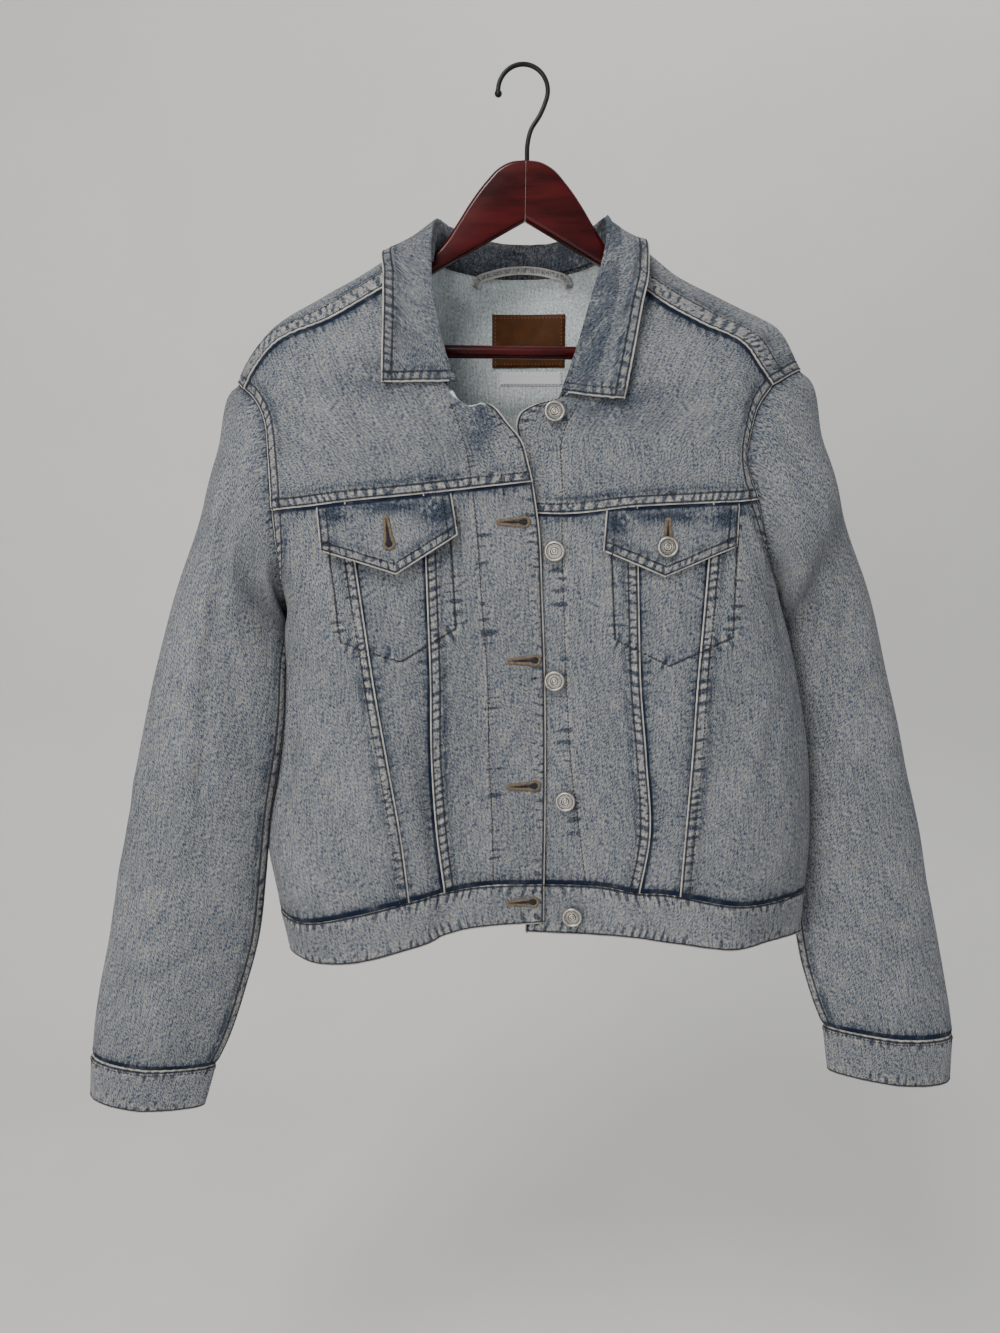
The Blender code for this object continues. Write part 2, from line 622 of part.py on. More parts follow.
def front_panels(side):
    cloth = FRONTS[side]
    outward = cloth.outward
    runs = front_columns()
    every = np.unique(np.round(np.concatenate(runs), 9))
    rows = body_rows(ARMHOLE_ROWS)
    found = {f"front_yoke_{side}": Panel(grid_of(cloth, every, steps(0, 1, FRONT_YOKE_ROWS)),
                                         outward=outward)}
    for name, run in zip(("side", "middle", "centre"), runs):
        found[f"front_{name}_{side}"] = Panel(grid_of(cloth, run, rows), outward=outward)
    band = grid_of(cloth, every, steps(2, 3, 2))
    found[f"waistband_front_{side}"] = Panel(band, DOUBLED, outward=outward)
    return found


def back_panels():
    side, middle, centre = front_columns()
    shoulder = np.unique(np.round(np.concatenate([side, middle, centre]), 9)) * NECK_R
    neck = steps(NECK_R, NECK_L, NECK_COLUMNS)[1:-1]
    across = np.concatenate([shoulder, neck, 1 - shoulder[::-1]])
    lower = np.concatenate([steps(0, 0.15, 4), steps(0.15, 0.85, 12)[1:-1], steps(0.85, 1, 4)])
    return {
        "back_yoke": Panel(grid_of(BACK_CLOTH, across, np.array(BACK_YOKE_ROWS))),
        "back_panel": Panel(grid_of(BACK_CLOTH, lower, body_rows(ARMHOLE_ROWS))),
        "waistband_back": Panel(grid_of(BACK_CLOTH, lower, steps(2, 3, 2)), DOUBLED),
    }


def armhole(side, panels):
    """The panels' own edge points round an armhole, from the tip down the front and up."""
    yoke = panels[f"front_yoke_{side}"].points[0]
    front = panels[f"front_side_{side}"].points[0][: ARMHOLE_ROWS + 1]
    at = 0 if side == "r" else -1
    back = panels["back_panel"].points[at][: ARMHOLE_ROWS + 1]
    back_yoke = panels["back_yoke"].points[at]
    tip = 3
    return np.concatenate([
        back_yoke[tip:0:-1], yoke, front[1:], back[-2::-1], back_yoke[-2:tip:-1],
    ]), len(back_yoke[tip:0:-1]) + len(yoke) + len(front) - 2


def ring_points(ring, angles):
    outer = np.array([ring.outer_x, ring.y, ring.outer_z])
    inner = np.array([ring.inner_x, ring.y, ring.inner_z])
    centre, across = (outer + inner) / 2, (outer - inner) / 2
    narrow = 1 - SLEEVE_NARROWS * np.maximum(0, -np.cos(angles))
    return (centre + np.cos(angles)[:, None] * across
            - (np.sin(angles) * narrow)[:, None] * np.array([0, ring.depth, 0]))


def sleeve_panels(side, panels):
    """The sleeve's front and back halves and its cuff, from the armhole down."""
    loop, underarm = armhole(side, panels)
    way = 1 if side == "r" else -1
    closed = np.concatenate([loop, loop[:1]])
    run = np.concatenate([[0], np.cumsum(np.linalg.norm(np.diff(closed, axis=0), axis=1))])
    angles = np.interp(run[:-1], [0, run[underarm], run[-1]], [0, math.pi, 2 * math.pi])
    table = SLEEVE_R if side == "r" else SLEEVE_L
    rings = [ring_points(ring, angles) for ring in table]
    step_out = 0.88 * loop + 0.12 * rings[0] - np.array([way * ARMHOLE_STEP, 0, 0])
    rings = [loop + ARMHOLE_GAP * unit(step_out - loop), step_out] + rings
    knots = np.concatenate([[0, 0.25], np.arange(1, len(table) + 1)])
    rows = np.concatenate([[0, 0.25], steps(1, 4, 4), steps(4, len(table), 5)[1:]])
    grid = np.moveaxis(spline(knots, np.array(rings), rows), 0, 1)
    seam = int(round(SLEEVE_BACK_SEAM * len(loop)))
    turned = np.concatenate([grid[seam:], grid[: seam + 1]])
    split = len(loop) - seam + underarm
    cuff_table = CUFF_R if side == "r" else CUFF_L
    cuff = np.array([ring_points(ring, angles) for ring in cuff_table])
    cuff = np.moveaxis(spline((0, 1), cuff, steps(0, 1, 2)), 0, 1)
    return {
        f"sleeve_front_{side}": Panel(turned[: split + 1], outward=way),
        f"sleeve_back_{side}": Panel(turned[split:], outward=way),
        f"cuff_{side}": Panel(cuff, DOUBLED, ring=True, outward=way),
    }


def build_panels(finish, jacket):
    panels = {**front_panels("r"), **front_panels("l"), **back_panels()}
    panels.update(sleeve_panels("r", panels))
    panels.update(sleeve_panels("l", panels))
    share_normals(panels.values())
    for name, panel in panels.items():
        outer, inner = panel.grids()
        add_object(name, wall_mesh(name, outer, inner, panel.ring), finish, jacket)


def neckline():
    """Points round the neck where the collar stands, with the way into the opening."""
    fronts = []
    for side, end in (("r", COLLAR_END_R), ("l", COLLAR_END_L)):
        t = steps(end, 0, 8)
        points = FRONTS[side].at(1.0, t)
        fronts.append((points, unit(points - FRONTS[side].at(0.97, t))))
    s = NECK_R + (NECK_L - NECK_R) * (0.5 - 0.5 * np.cos(steps(0, math.pi, 22)[1:-1]))
    points = BACK_CLOTH.at(s, 0.0)
    back = points, unit(points - BACK_CLOTH.at(s, 0.05))
    (right, right_in), (left, left_in) = fronts
    return (np.concatenate([right, back[0], left[::-1]]),
            np.concatenate([right_in, back[1], left_in[::-1]]))


def lifted_off(points, clear, sides):
    """The points, moved out to stand at least clear of the cloth that lies under them."""
    under, normals = [], []
    for cloth, low_s, high_s, high_t in sides:
        s, t = np.meshgrid(steps(low_s, high_s, 150), steps(0, high_t, 90), indexing="ij")
        under.append(cloth.at(s, t).reshape(-1, 3))
        normals.append(cloth.normal(s, t).reshape(-1, 3))
    under, normals = np.concatenate(under), np.concatenate(normals)
    found = points.copy()
    for index in np.ndindex(points.shape[:2]):
        away = points[index] - under
        nearest = np.argmin((away ** 2).sum(axis=1))
        height = away[nearest] @ normals[nearest]
        aside = (away[nearest] ** 2).sum() - height ** 2
        if aside < 9 and height < clear:
            found[index] += normals[nearest] * (clear - height)
    return found


def build_collar(finish, jacket):
    seam, inward = neckline()
    run = np.concatenate([[0], np.cumsum(np.linalg.norm(np.diff(seam, axis=0), axis=1))])
    at = run / run[-1]
    stations = [row.at for row in COLLAR]
    apex = spline(stations, np.array([row.apex for row in COLLAR]), at)
    edge = spline(stations, np.array([row.edge for row in COLLAR]), at)
    rise = unit(apex - seam)
    fall = unit(edge - apex)
    under = unit(fall - (fall * rise).sum(axis=1, keepdims=True) * rise)
    lean = np.maximum(0, -(under * inward).sum(axis=1, keepdims=True))
    gap = COLLAR_GAP + COLLAR_END_GAP * np.abs(2 * at[:, None] - 1) ** 2
    base = (seam + (gap + COLLAR_WALL * lean) * inward
            - 0.7 * COLLAR_WALL * (1 - lean) * under)
    belly = unit(np.cross(fall, unit(np.gradient(apex, axis=0))))
    lines = []
    for b, a, e, w, d, out in zip(base, apex, edge, rise, fall, belly):
        stand = np.linalg.norm(a - b)
        path = [b, b + (a - b) * 0.5, a - w * min(4.5, stand * 0.3), a, a + d * 4.5,
                a + (e - a) * 0.45 + out * 1.5, e]
        lines.append(along(path, COLLAR_STEPS))
    outer = np.array(lines)
    leaf = COLLAR_APEX + 1
    outer[:, leaf:] = lifted_off(outer[:, leaf:], COLLAR_WALL + COLLAR_LIES,
                                 ((FRONTS["r"], 0, 1, 0.8), (FRONTS["l"], 0, 1, 0.8),
                                  (BACK_CLOTH, 0, 1, 1.0)))
    panel = Panel(outer, COLLAR_WALL, outward=1)
    middle = panel.normals[len(at) // 2, 1]
    if middle[1] > 0:
        panel.normals *= -1
    inner = panel.points - panel.thick * panel.normals
    add_object("collar", wall_mesh("collar", outer, inner), finish, jacket)


def laid_piece(cloth, x, z, low, high, guess):
    """Outer and inner grids of a piece that lies on the cloth, low to high off it."""
    s, t = cloth.find(x, z, *guess)
    points, normals = cloth.at(s, t), cloth.normal(s, t)
    return points + normals * np.atleast_3d(high), points + normals * np.atleast_3d(low)


def pentagon(corners, columns, rows):
    """x and z over a pointed pocket or flap, from its top edge down to its V."""
    u = steps(0, 1, columns)
    v = steps(0, 1, rows)[None, :, None]
    top = np.array(corners.top_out) + u[:, None] * np.subtract(corners.top_in, corners.top_out)
    low = np.column_stack([
        np.interp(u, (0, 0.5, 1), [c[i] for c in (corners.low_out, corners.point,
                                                  corners.low_in)]) for i in (0, 1)])
    grid = top[:, None] * (1 - v) + low[:, None] * v
    return grid[..., 0], grid[..., 1]


def build_pockets(finish, jacket):
    for side, flap, bag in (("r", FLAP_R, BAG_R), ("l", FLAP_L, BAG_L)):
        cloth = FRONTS[side]
        x, z = pentagon(flap, 8, 4)
        lift = LAY_GAP + FLAP_LIFT[side] * steps(0, 1, 4)[None, :] * np.ones((9, 1))
        outer, inner = laid_piece(cloth, x, z, lift, lift + FLAP_WALL, (0.5, 1.1))
        add_object(f"pocket_flap_{side}", wall_mesh("flap", outer, inner), finish, jacket)
        x, z = pentagon(bag, 8, 6)
        depth = -DENIM - BAG_GAP
        outer, inner = laid_piece(cloth, x, z, depth - BAG_WALL, depth, (0.5, 1.2))
        add_object(f"pocket_bag_{side}", wall_mesh("bag", outer, inner), finish, jacket)


def build_inside_labels(finishes, jacket):
    for name, box, wall, finish in (("patch", PATCH, PATCH_WALL, "leather"),
                                    ("size_label", LABEL, LABEL_WALL, "label")):
        x, z = np.meshgrid(steps(box[0], box[1], 5), steps(box[2], box[3], 3), indexing="ij")
        depth = -DENIM - LAY_GAP
        outer, inner = laid_piece(BACK_CLOTH, x, z, depth - wall, depth, (0.5, 0.5))
        add_object(name, wall_mesh(name, outer, inner), finishes[finish], jacket)


def build_loop(finish, jacket):
    """The hanging loop: a strip along a path given as x, distance off the yoke, and z."""
    path = along(np.array(LOOP_PATH), steps(0, 1, 16))
    anchor = BACK_CLOTH.at(*BACK_CLOTH.find(path[:, 0], np.minimum(path[:, 2], -164), 0.5, 0.1))
    thick, wide = LOOP_SIZE
    centre = np.column_stack([path[:, 0], anchor[:, 1] - DENIM - path[:, 1], path[:, 2]])
    direction = unit(np.gradient(centre, axis=0))
    across = unit(np.cross(direction, np.array([0.0, 1.0, 0.0])))
    face = unit(np.cross(across, direction))
    front = np.stack([centre + across * k - face * thick / 2 for k in (-wide / 2, wide / 2)], 1)
    back = np.stack([centre + across * k + face * thick / 2 for k in (-wide / 2, wide / 2)], 1)
    add_object("hanging_loop", wall_mesh("loop", front, back), finish, jacket)


def button_mesh(stem):
    """A shank button, turned about Z: a stem, a domed head and a raised rim."""
    r, h = BUTTON_RADIUS, BUTTON_HEAD
    profile = ((0, stem + h * 0.62), (r * 0.3, stem + h * 0.66), (r * 0.62, stem + h * 0.66),
               (r * 0.74, stem + h), (r * 0.9, stem + h * 0.92), (r, stem + h * 0.5),
               (r * 0.93, stem + 0.1), (r * 0.34, stem), (r * 0.3, 0), (0, 0))
    mesh = bpy.data.meshes.new("button")
    mesh.from_pydata([(x * MM, 0, z * MM) for x, z in profile],
                     [(i, i + 1) for i in range(len(profile) - 1)], [])
    return mesh


def add_button(name, cloth, place, guess, off, stem, finish, jacket):
    s, t = cloth.find(np.array([place[0]]), np.array([place[1]]), *guess)
    normal = cloth.normal(s, t)[0]
    point = cloth.at(s, t)[0] + normal * off
    made = add_object(name, button_mesh(stem), finish, jacket)
    made.location = Vector(point * MM)
    made.rotation_euler = Vector(normal).to_track_quat("Z", "Y").to_euler()
    turn = made.modifiers.new("turn", "SCREW")
    turn.steps = turn.render_steps = TURNS
    turn.use_merge_vertices = True
    turn.merge_threshold = 0.0001
    return made


def build_buttons(finish, jacket):
    for number, place in enumerate(FRONT_BUTTONS, 1):
        level = 0.7 if number == 1 else 2.5 if number == 5 else 1.0 + 0.25 * (number - 1)
        add_button(f"front_button_{number}", FRONTS["l"], place, (0.88, level), LAY_GAP,
                   BUTTON_STANDOFF, finish, jacket)
    above_flap = LAY_GAP + FLAP_LIFT["l"] * 0.8 + FLAP_WALL + LAY_GAP
    add_button("pocket_button_l", FRONTS["l"], POCKET_BUTTON_L, (0.5, 1.1), above_flap,
               LOW_STANDOFF, finish, jacket)
    add_button("pocket_button_r", FRONTS["r"], POCKET_BUTTON_R, (0.5, 1.1), LAY_GAP,
               LOW_STANDOFF, finish, jacket)


def board_outline(sign):
    top = along(ARM_TOP, steps(0, 1, 20))
    tip = along((ARM_TOP[-1],) + ARM_TIP + (ARM_FOOT[0],), steps(0, 1, 6))[1:-1]
    under = along(ARM_UNDER, steps(0, 1, 14))
    return np.concatenate([top, tip, np.array(ARM_FOOT), under]) * (sign, 1)


def board_mesh(name, sign):
    """One arm of the hanger: its outline as a board with rounded edges."""
    board = bmesh.new()
    corners = [board.verts.new((x * MM, -BOARD / 2 * MM, z * MM))
               for x, z in board_outline(sign)]
    face = board.faces.new(corners)
    bmesh.ops.recalc_face_normals(board, faces=[face])
    grown = bmesh.ops.extrude_face_region(board, geom=[face])["geom"]
    moved = [item for item in grown if isinstance(item, bmesh.types.BMVert)]
    bmesh.ops.translate(board, verts=moved, vec=(0, BOARD * MM, 0))
    bmesh.ops.recalc_face_normals(board, faces=board.faces)
    rims = [edge for edge in board.edges
            if edge.verts[0].co.y == edge.verts[1].co.y
            and abs(edge.verts[0].co.x) + abs(edge.verts[1].co.x) > 1 * MM]
    bmesh.ops.bevel(board, geom=rims, offset=BOARD_EDGE * MM, segments=2, profile=0.5,
                    affect="EDGES", clamp_overlap=True)
    mesh = bpy.data.meshes.new(name)
    board.to_mesh(mesh)
    board.free()
    mesh.shade_smooth()
    mesh.set_sharp_from_angle(angle=math.radians(40))
    return mesh


def build_hanger(finishes, jacket):
    for side, sign in (("r", -1), ("l", 1)):
        name = f"hanger_arm_{side}"
        arm = add_object(name, board_mesh(name, sign), finishes["wood"], jacket)
        arm.rotation_euler = (0, HANGER_TILT, 0)
    bar = tube("hanger_bar", [(-BAR_END, 0, BAR_Z), (BAR_END, 0, BAR_Z)], BAR_RADIUS, 4)
    bar = add_object("hanger_bar", bar, finishes["wood"], jacket)
    bar.rotation_euler = (0, HANGER_TILT, 0)
    angles = np.linspace(HOOK_TIP, HOOK_TURN, 22)
    arc = np.column_stack([HOOK_CENTRE[0] + HOOK_RADIUS * np.cos(angles), 0 * angles,
                           HOOK_CENTRE[1] + HOOK_RADIUS * np.sin(angles)])
    stem = [(x, 0, z) for x, z in STEM]
    drop = along(np.concatenate([arc[-2:], stem]), steps(0, 1, 12))[2:]
    ball_angles = np.linspace(0.15, 2.4, 6)
    ball = arc[0] + unit(arc[0] - arc[1]) * BALL_RADIUS * np.cos(ball_angles)[:, None]
    path = np.concatenate([ball, arc[2:], drop])
    swell = np.ones(len(path))
    swell[: len(ball)] = BALL_RADIUS * np.sin(ball_angles) / WIRE_RADIUS
    add_object("hanger_hook", tube("hook", path, WIRE_RADIUS, 2, swell), finishes["wire"],
               jacket)


def tube(name, points, radius, resolution, swell=None):
    """A round tube through the points, with swell as the share of its radius at each."""
    curve = bpy.data.curves.new(name, "CURVE")
    curve.dimensions = "3D"
    curve.bevel_depth = radius * MM
    curve.bevel_resolution = resolution
    curve.use_fill_caps = True
    run = curve.splines.new("POLY")
    run.points.add(len(points) - 1)
    shares = np.ones(len(points)) if swell is None else swell
    for point, place, share in zip(run.points, points, shares):
        point.co = (*(np.asarray(place) * MM), 1)
        point.radius = share
    return curve


def main():
    for old in list(bpy.data.objects):
        bpy.data.objects.remove(old)
    jacket = bpy.data.collections.new("denim jacket on a hanger")
    bpy.context.scene.collection.children.link(jacket)
    finishes = materials()
    build_panels(finishes["denim"], jacket)
    build_collar(finishes["denim"], jacket)
    build_pockets(finishes["denim"], jacket)
    build_inside_labels(finishes, jacket)
    build_loop(finishes["denim"], jacket)
    build_buttons(finishes["metal"], jacket)
    build_hanger(finishes, jacket)


main()
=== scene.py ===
"""Denim jacket on its hanger: cloth, seams, stitching, buttons and stage.

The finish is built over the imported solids, in the same frame and in metres: +Z up, the
origin inside the top of the hanger's hook, the jacket's front towards -Y, the wearer's
right (_r) at -X. The tables of the garment's form are in millimetres and are scaled once,
when a mesh is made.

The cloth is one system of smooth surfaces. Each surface runs through columns, which are
curves down the garment, and is read at (s, t): s crosses from column to column, and t
goes down, with 0 at the shoulder, 1 at the yoke seam, 2 at the waistband seam and 3 at
the hem.
"""

from collections import namedtuple
import math

import bmesh
import bpy
from mathutils import Matrix, Vector
import numpy as np


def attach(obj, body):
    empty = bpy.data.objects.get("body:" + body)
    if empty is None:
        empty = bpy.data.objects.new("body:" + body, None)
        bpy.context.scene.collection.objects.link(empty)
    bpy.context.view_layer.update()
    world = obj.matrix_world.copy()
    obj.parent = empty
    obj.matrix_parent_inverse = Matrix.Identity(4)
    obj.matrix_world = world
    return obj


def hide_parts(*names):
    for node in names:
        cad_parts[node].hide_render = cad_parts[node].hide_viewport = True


bl_info = {
    "name": "Denim jacket on a hanger",
    "version": (1, 0, 0),
    "blender": (4, 5, 0),
    "location": "View3D > Sidebar > Jacket",
    "description": "Builds a washed denim jacket's cloth, seams and fittings over its solids",
    "category": "Object",
}

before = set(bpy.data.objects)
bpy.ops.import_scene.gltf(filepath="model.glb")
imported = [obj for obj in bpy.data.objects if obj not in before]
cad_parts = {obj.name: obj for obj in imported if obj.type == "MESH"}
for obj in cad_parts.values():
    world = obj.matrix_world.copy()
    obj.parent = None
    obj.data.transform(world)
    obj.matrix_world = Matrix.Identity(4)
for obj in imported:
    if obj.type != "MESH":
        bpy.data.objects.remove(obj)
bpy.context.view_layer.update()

MM = 0.001
LAY_GAP = 0.4
BAG_GAP = 1.0
DENIM = 1.2
DOUBLED = 2.4
COLLAR_WALL = 2.0
COLLAR_LIES = 2.2
COLLAR_GAP = 2.4
COLLAR_END_GAP = 5.4
FLAP_WALL = 1.7
BAG_WALL = 1.0
LOOP_SIZE = (1.6, 7.0)
PATCH_WALL = 1.5
LABEL_WALL = 1.0
BUTTON_RADIUS = 8.6
BUTTON_HEAD = 3.2
BUTTON_STANDOFF = 3.2
LOW_STANDOFF = 1.0
BOARD = 12.0
BOARD_EDGE = 3.0
BAR_RADIUS = 5.4
WIRE_RADIUS = 1.95
HANGER_TILT = math.radians(0.7)
ARMHOLE_STEP = 4.5
SLEEVE_NARROWS = 0.35
CUFF_STANDS = 1.4

Level = namedtuple("Level", "t side turn flank swell outer_v inner_v placket edge")
Back = namedtuple("Back", "t side_r turn_r flank_r mid_r centre mid_l flank_l turn_l side_l")
Drape = namedtuple("Drape", "s seam ridge behind middle low")
Fold = namedtuple("Fold", "at apex edge")
Ring = namedtuple("Ring", "outer_x outer_z inner_x inner_z y depth")
Pocket = namedtuple("Pocket", "top_out top_in low_out point low_in")

# Where the columns of a front cross it, from the side to the front edge. The V seams
# and the placket's stitch line are columns of their own.
FRONT_S = (0.0, 0.1, 0.2, 0.3, 0.4, 0.6, 0.85, 1.0)
OUTER_V, INNER_V = 0.4, 0.6
UNDERARM = 1.27

# Heights (z) of a front's columns at the yoke seam, waistband seam and hem.
FRONT_R_Z = (
    Level(1.0, -361, -359.5, -358, -356, -354, -348, -343.5, -338),
    Level(2.0, -704, -705, -704, -694, -683, -678, -674, -675),
    Level(3.0, -748, -744, -742, -736, -726, -716, -711, -710),
)
FRONT_L_Z = (
    Level(1.0, -352, -353, -354, -354.5, -355, -358, -363.7, -362),
    Level(2.0, -689, -689, -689, -686, -678, -678, -675, -677),
    Level(3.0, -731, -729, -726, -725.5, -722, -720, -720.5, -721),
)

# Plan (x, y) of each column at each level: yoke seam, armhole, underarm, ribs, waist,
# below the waist, waistband seam and hem.
FRONT_R = (
    Level(1.00, (-207.8, -60), (-194, -65), (-178, -67.5), (-162, -68.5), (-146, -69.5),
          (-84, -70), (-44.4, -66), (4.1, -64)),
    Level(1.11, (-206, -53), (-196, -63), (-178, -68), (-160, -70), (-140.5, -71),
          (-83, -70.5), (-41, -67), (9.5, -62.5)),
    Level(1.27, (-207, -4), (-203, -38), (-181, -59), (-157, -69), (-133, -74),
          (-81.5, -71), (-37.5, -67.5), (12.4, -61.5)),
    Level(1.45, (-211, 3), (-208, -34), (-184, -57), (-154.5, -69), (-124.5, -78),
          (-79.7, -72), (-33, -67.5), (14.8, -61.5)),
    Level(1.65, (-219, 5), (-216, -35), (-189, -60), (-151, -73), (-113.5, -81.5),
          (-79.4, -73), (-31.7, -67.5), (16, -61.5)),
    Level(1.85, (-226, 0), (-222, -42), (-193, -68), (-148, -78), (-103, -82.5),
          (-75.5, -73), (-29, -67.5), (16, -61.5)),
    Level(2.00, (-221, -14), (-210, -52), (-184, -75), (-142, -83.5), (-97.5, -82),
          (-69.4, -73.5), (-28, -67), (15.5, -61.5)),
    Level(3.00, (-213, -16), (-203, -46), (-177, -73), (-140, -85), (-96, -80),
          (-68, -74), (-30, -67), (15.5, -61.5)),
)
FRONT_L = (
    Level(1.00, (187.8, -56), (180, -60), (171, -63), (160, -65), (148.6, -66),
          (88.2, -68), (27.8, -60), (-18, -55)),
    Level(1.11, (198, -49), (192, -59), (177, -66), (161, -69), (146, -69.5),
          (89, -70), (28.5, -60), (-19, -55)),
    Level(1.27, (213, -12), (216, -36), (193, -60), (167, -70), (142.5, -71.5),
          (90.7, -70.5), (30.3, -60), (-19.5, -55)),
    Level(1.45, (227, -12), (232, -34), (206, -60), (172, -71), (138, -75),
          (93, -72), (32.8, -60), (-17, -55)),
    Level(1.65, (239, -14), (243, -34), (215, -62), (177, -75), (134.3, -79),
          (98.7, -74), (36.5, -61), (-13, -55)),
    Level(1.85, (243, -16), (247, -36), (219, -66), (179, -80), (130, -81),
          (102.5, -75), (44.5, -63), (-5, -55)),
    Level(2.00, (240, -18), (244, -38), (210, -66), (172, -83), (126.9, -82),
          (94.9, -75), (50.4, -64), (0, -55)),
    Level(3.00, (237, -18), (242, -36), (208, -64), (172, -84), (128, -80),
          (96, -73), (50, -62), (-1, -55)),
)

# The back: plan and height of each column at the same levels.
BACK_S = (0.0, 0.06, 0.15, 0.3, 0.5, 0.7, 0.85, 0.94, 1.0)
BACK_Z = (
    Back(1.0, -283, -283, -282.5, -282, -282, -282, -282.5, -283, -283),
    Back(1.13, -372, -372, -371, -370, -370, -370, -371, -372, -372),
    Back(1.27, -453.6, -453, -452, -451, -450, -449, -447, -444, -442.9),
    Back(2.0, -704, -702, -698, -694, -692, -690, -689, -689, -689),
    Back(3.0, -748, -746, -740, -736, -733, -731, -730, -730, -731),
)
BACK = (
    Back(1.00, (-231, 22), (-215, 34), (-185, 42), (-105, 46), (-6, 47), (92, 46),
         (172, 42), (202, 33), (217, 22)),
    Back(1.13, (-216, 37), (-203, 47), (-178, 52), (-108, 53), (-6, 51), (96, 53),
         (172, 50), (198, 41), (208, 30)),
    Back(1.27, (-207, -4), (-200, 30), (-176, 48), (-111, 54), (-4, 53), (103, 54),
         (180, 44), (206, 18), (213, -12)),
    Back(1.45, (-211, 3), (-204, 31), (-180, 46), (-113, 52), (0, 51), (113, 52),
         (190, 39), (218, 12), (227, -12)),
    Back(1.65, (-219, 5), (-212, 33), (-186, 47), (-114, 52), (6, 50), (124, 51),
         (199, 36), (228, 8), (239, -14)),
    Back(1.85, (-226, 0), (-218, 30), (-190, 45), (-114, 50), (10, 48), (132, 48),
         (203, 33), (231, 6), (243, -16)),
    Back(2.00, (-221, -14), (-212, 20), (-183, 38), (-110, 46), (11, 46), (131, 45),
         (198, 29), (228, 3), (240, -18)),
    Back(3.00, (-213, -16), (-206, 16), (-179, 35), (-108, 44), (11, 44), (130, 43),
         (195, 26), (225, 2), (237, -18)),
)

# The back yoke's columns, from the front shoulder seam over the ridge and down the back,
# or from the neckline down. NECK is where the neck points lie across it.
NECK_R, NECK_L = 0.32, 0.68
BACK_YOKE = (
    Drape(0.0, (-236.5, -21, -260), (-244, -8, -254), (-243, 4, -260), (-238, 13, -270),
          (-231, 22, -283)),
    Drape(0.06, (-226, -28, -245), (-230, -8, -228), (-229, 9, -238), (-223, 24, -258),
          (-215, 34, -283)),
    Drape(0.12, (-209, -31, -226), (-211, -4, -204.5), (-209, 13, -213), (-204, 29, -242),
          (-197, 39, -282.7)),
    Drape(0.22, (-160, -31, -204), (-162, -3, -177.8), (-161, 16, -189), (-157, 35, -228),
          (-150, 44, -282.3)),
    Drape(0.32, (-90, -23, -163), (-89, -2, -142), (-92, 16, -156), (-98, 37, -210),
          (-98, 46, -282)),
    Drape(0.35, (-83, -3, -135.5), (-84, 8, -141), (-87, 20, -160), (-89, 38, -215),
          (-87, 46.2, -282)),
    Drape(0.39, (-76, 21, -149), (-76, 27, -158), (-76, 35, -180), (-75, 43, -225),
          (-72, 46.6, -282)),
    Drape(0.44, (-45, 37, -156), (-45, 39, -164), (-45, 42, -184), (-44, 46, -228),
          (-43, 47, -282)),
    Drape(0.5, (-6, 44, -157.5), (-6, 45, -165), (-6, 46, -185), (-6, 48, -230),
          (-6, 47, -282)),
    Drape(0.56, (32, 37, -156), (32, 39, -164), (32, 42, -184), (31, 46, -228),
          (30, 47, -282)),
    Drape(0.61, (65, 21, -147), (65, 27, -157), (64, 35, -180), (61, 43, -225),
          (58, 46.6, -282)),
    Drape(0.65, (74, -3, -130.5), (74, 8, -137), (74, 20, -158), (74, 38, -215),
          (72, 46.2, -282)),
    Drape(0.68, (79, -23, -166), (80, -2, -139.5), (80, 16, -155), (83, 37, -210),
          (82, 46, -282)),
    Drape(0.78, (141, -31, -208), (142, -3, -173.2), (142, 16, -187), (139, 35, -228),
          (134, 44, -282.3)),
    Drape(0.88, (180, -33, -228), (203, -4, -204), (199, 13, -214), (192, 29, -243),
          (184, 39, -282.7)),
    Drape(0.94, (191, -33, -243), (219, -8, -220), (217, 9, -234), (211, 24, -257),
          (202, 33, -283)),
    Drape(1.0, (203, -31, -258), (231, -9, -243), (230, 4, -252), (225, 13, -267),
          (217, 22, -283)),
)

# The front yokes' columns below the shoulder seam, each a curve of its own points.
YOKE_S = (0.0, 0.2, 0.4, 0.6, 0.85, 1.0)
YOKE_R = (
    ((-236.5, -21, -260), (-229, -28, -266), (-215, -44, -288), (-210.7, -54, -319),
     (-209.4, -58, -338), (-207.8, -60, -361)),
    ((-205, -32, -224), (-198, -48, -262), (-187, -60, -310), (-178, -67.5, -358)),
    ((-164, -31, -206), (-158, -52, -255), (-151, -64, -305), (-146, -69.5, -354)),
    ((-125, -28, -184), (-110, -50, -234), (-95, -63, -290), (-84, -70, -348)),
    ((-101, -24, -170), (-84, -45, -222), (-62, -54, -274), (-50, -61, -310.6),
     (-44.4, -66, -343.5)),
    ((-90, -23, -163), (-84, -33, -193), (-77, -43, -231), (-68.5, -48.5, -259),
     (-58, -53, -269), (-47, -57, -277.5), (-31, -63.5, -277), (-15, -66.5, -293.6),
     (-4.9, -66, -306), (0.4, -65, -323), (4.1, -64, -338)),
)
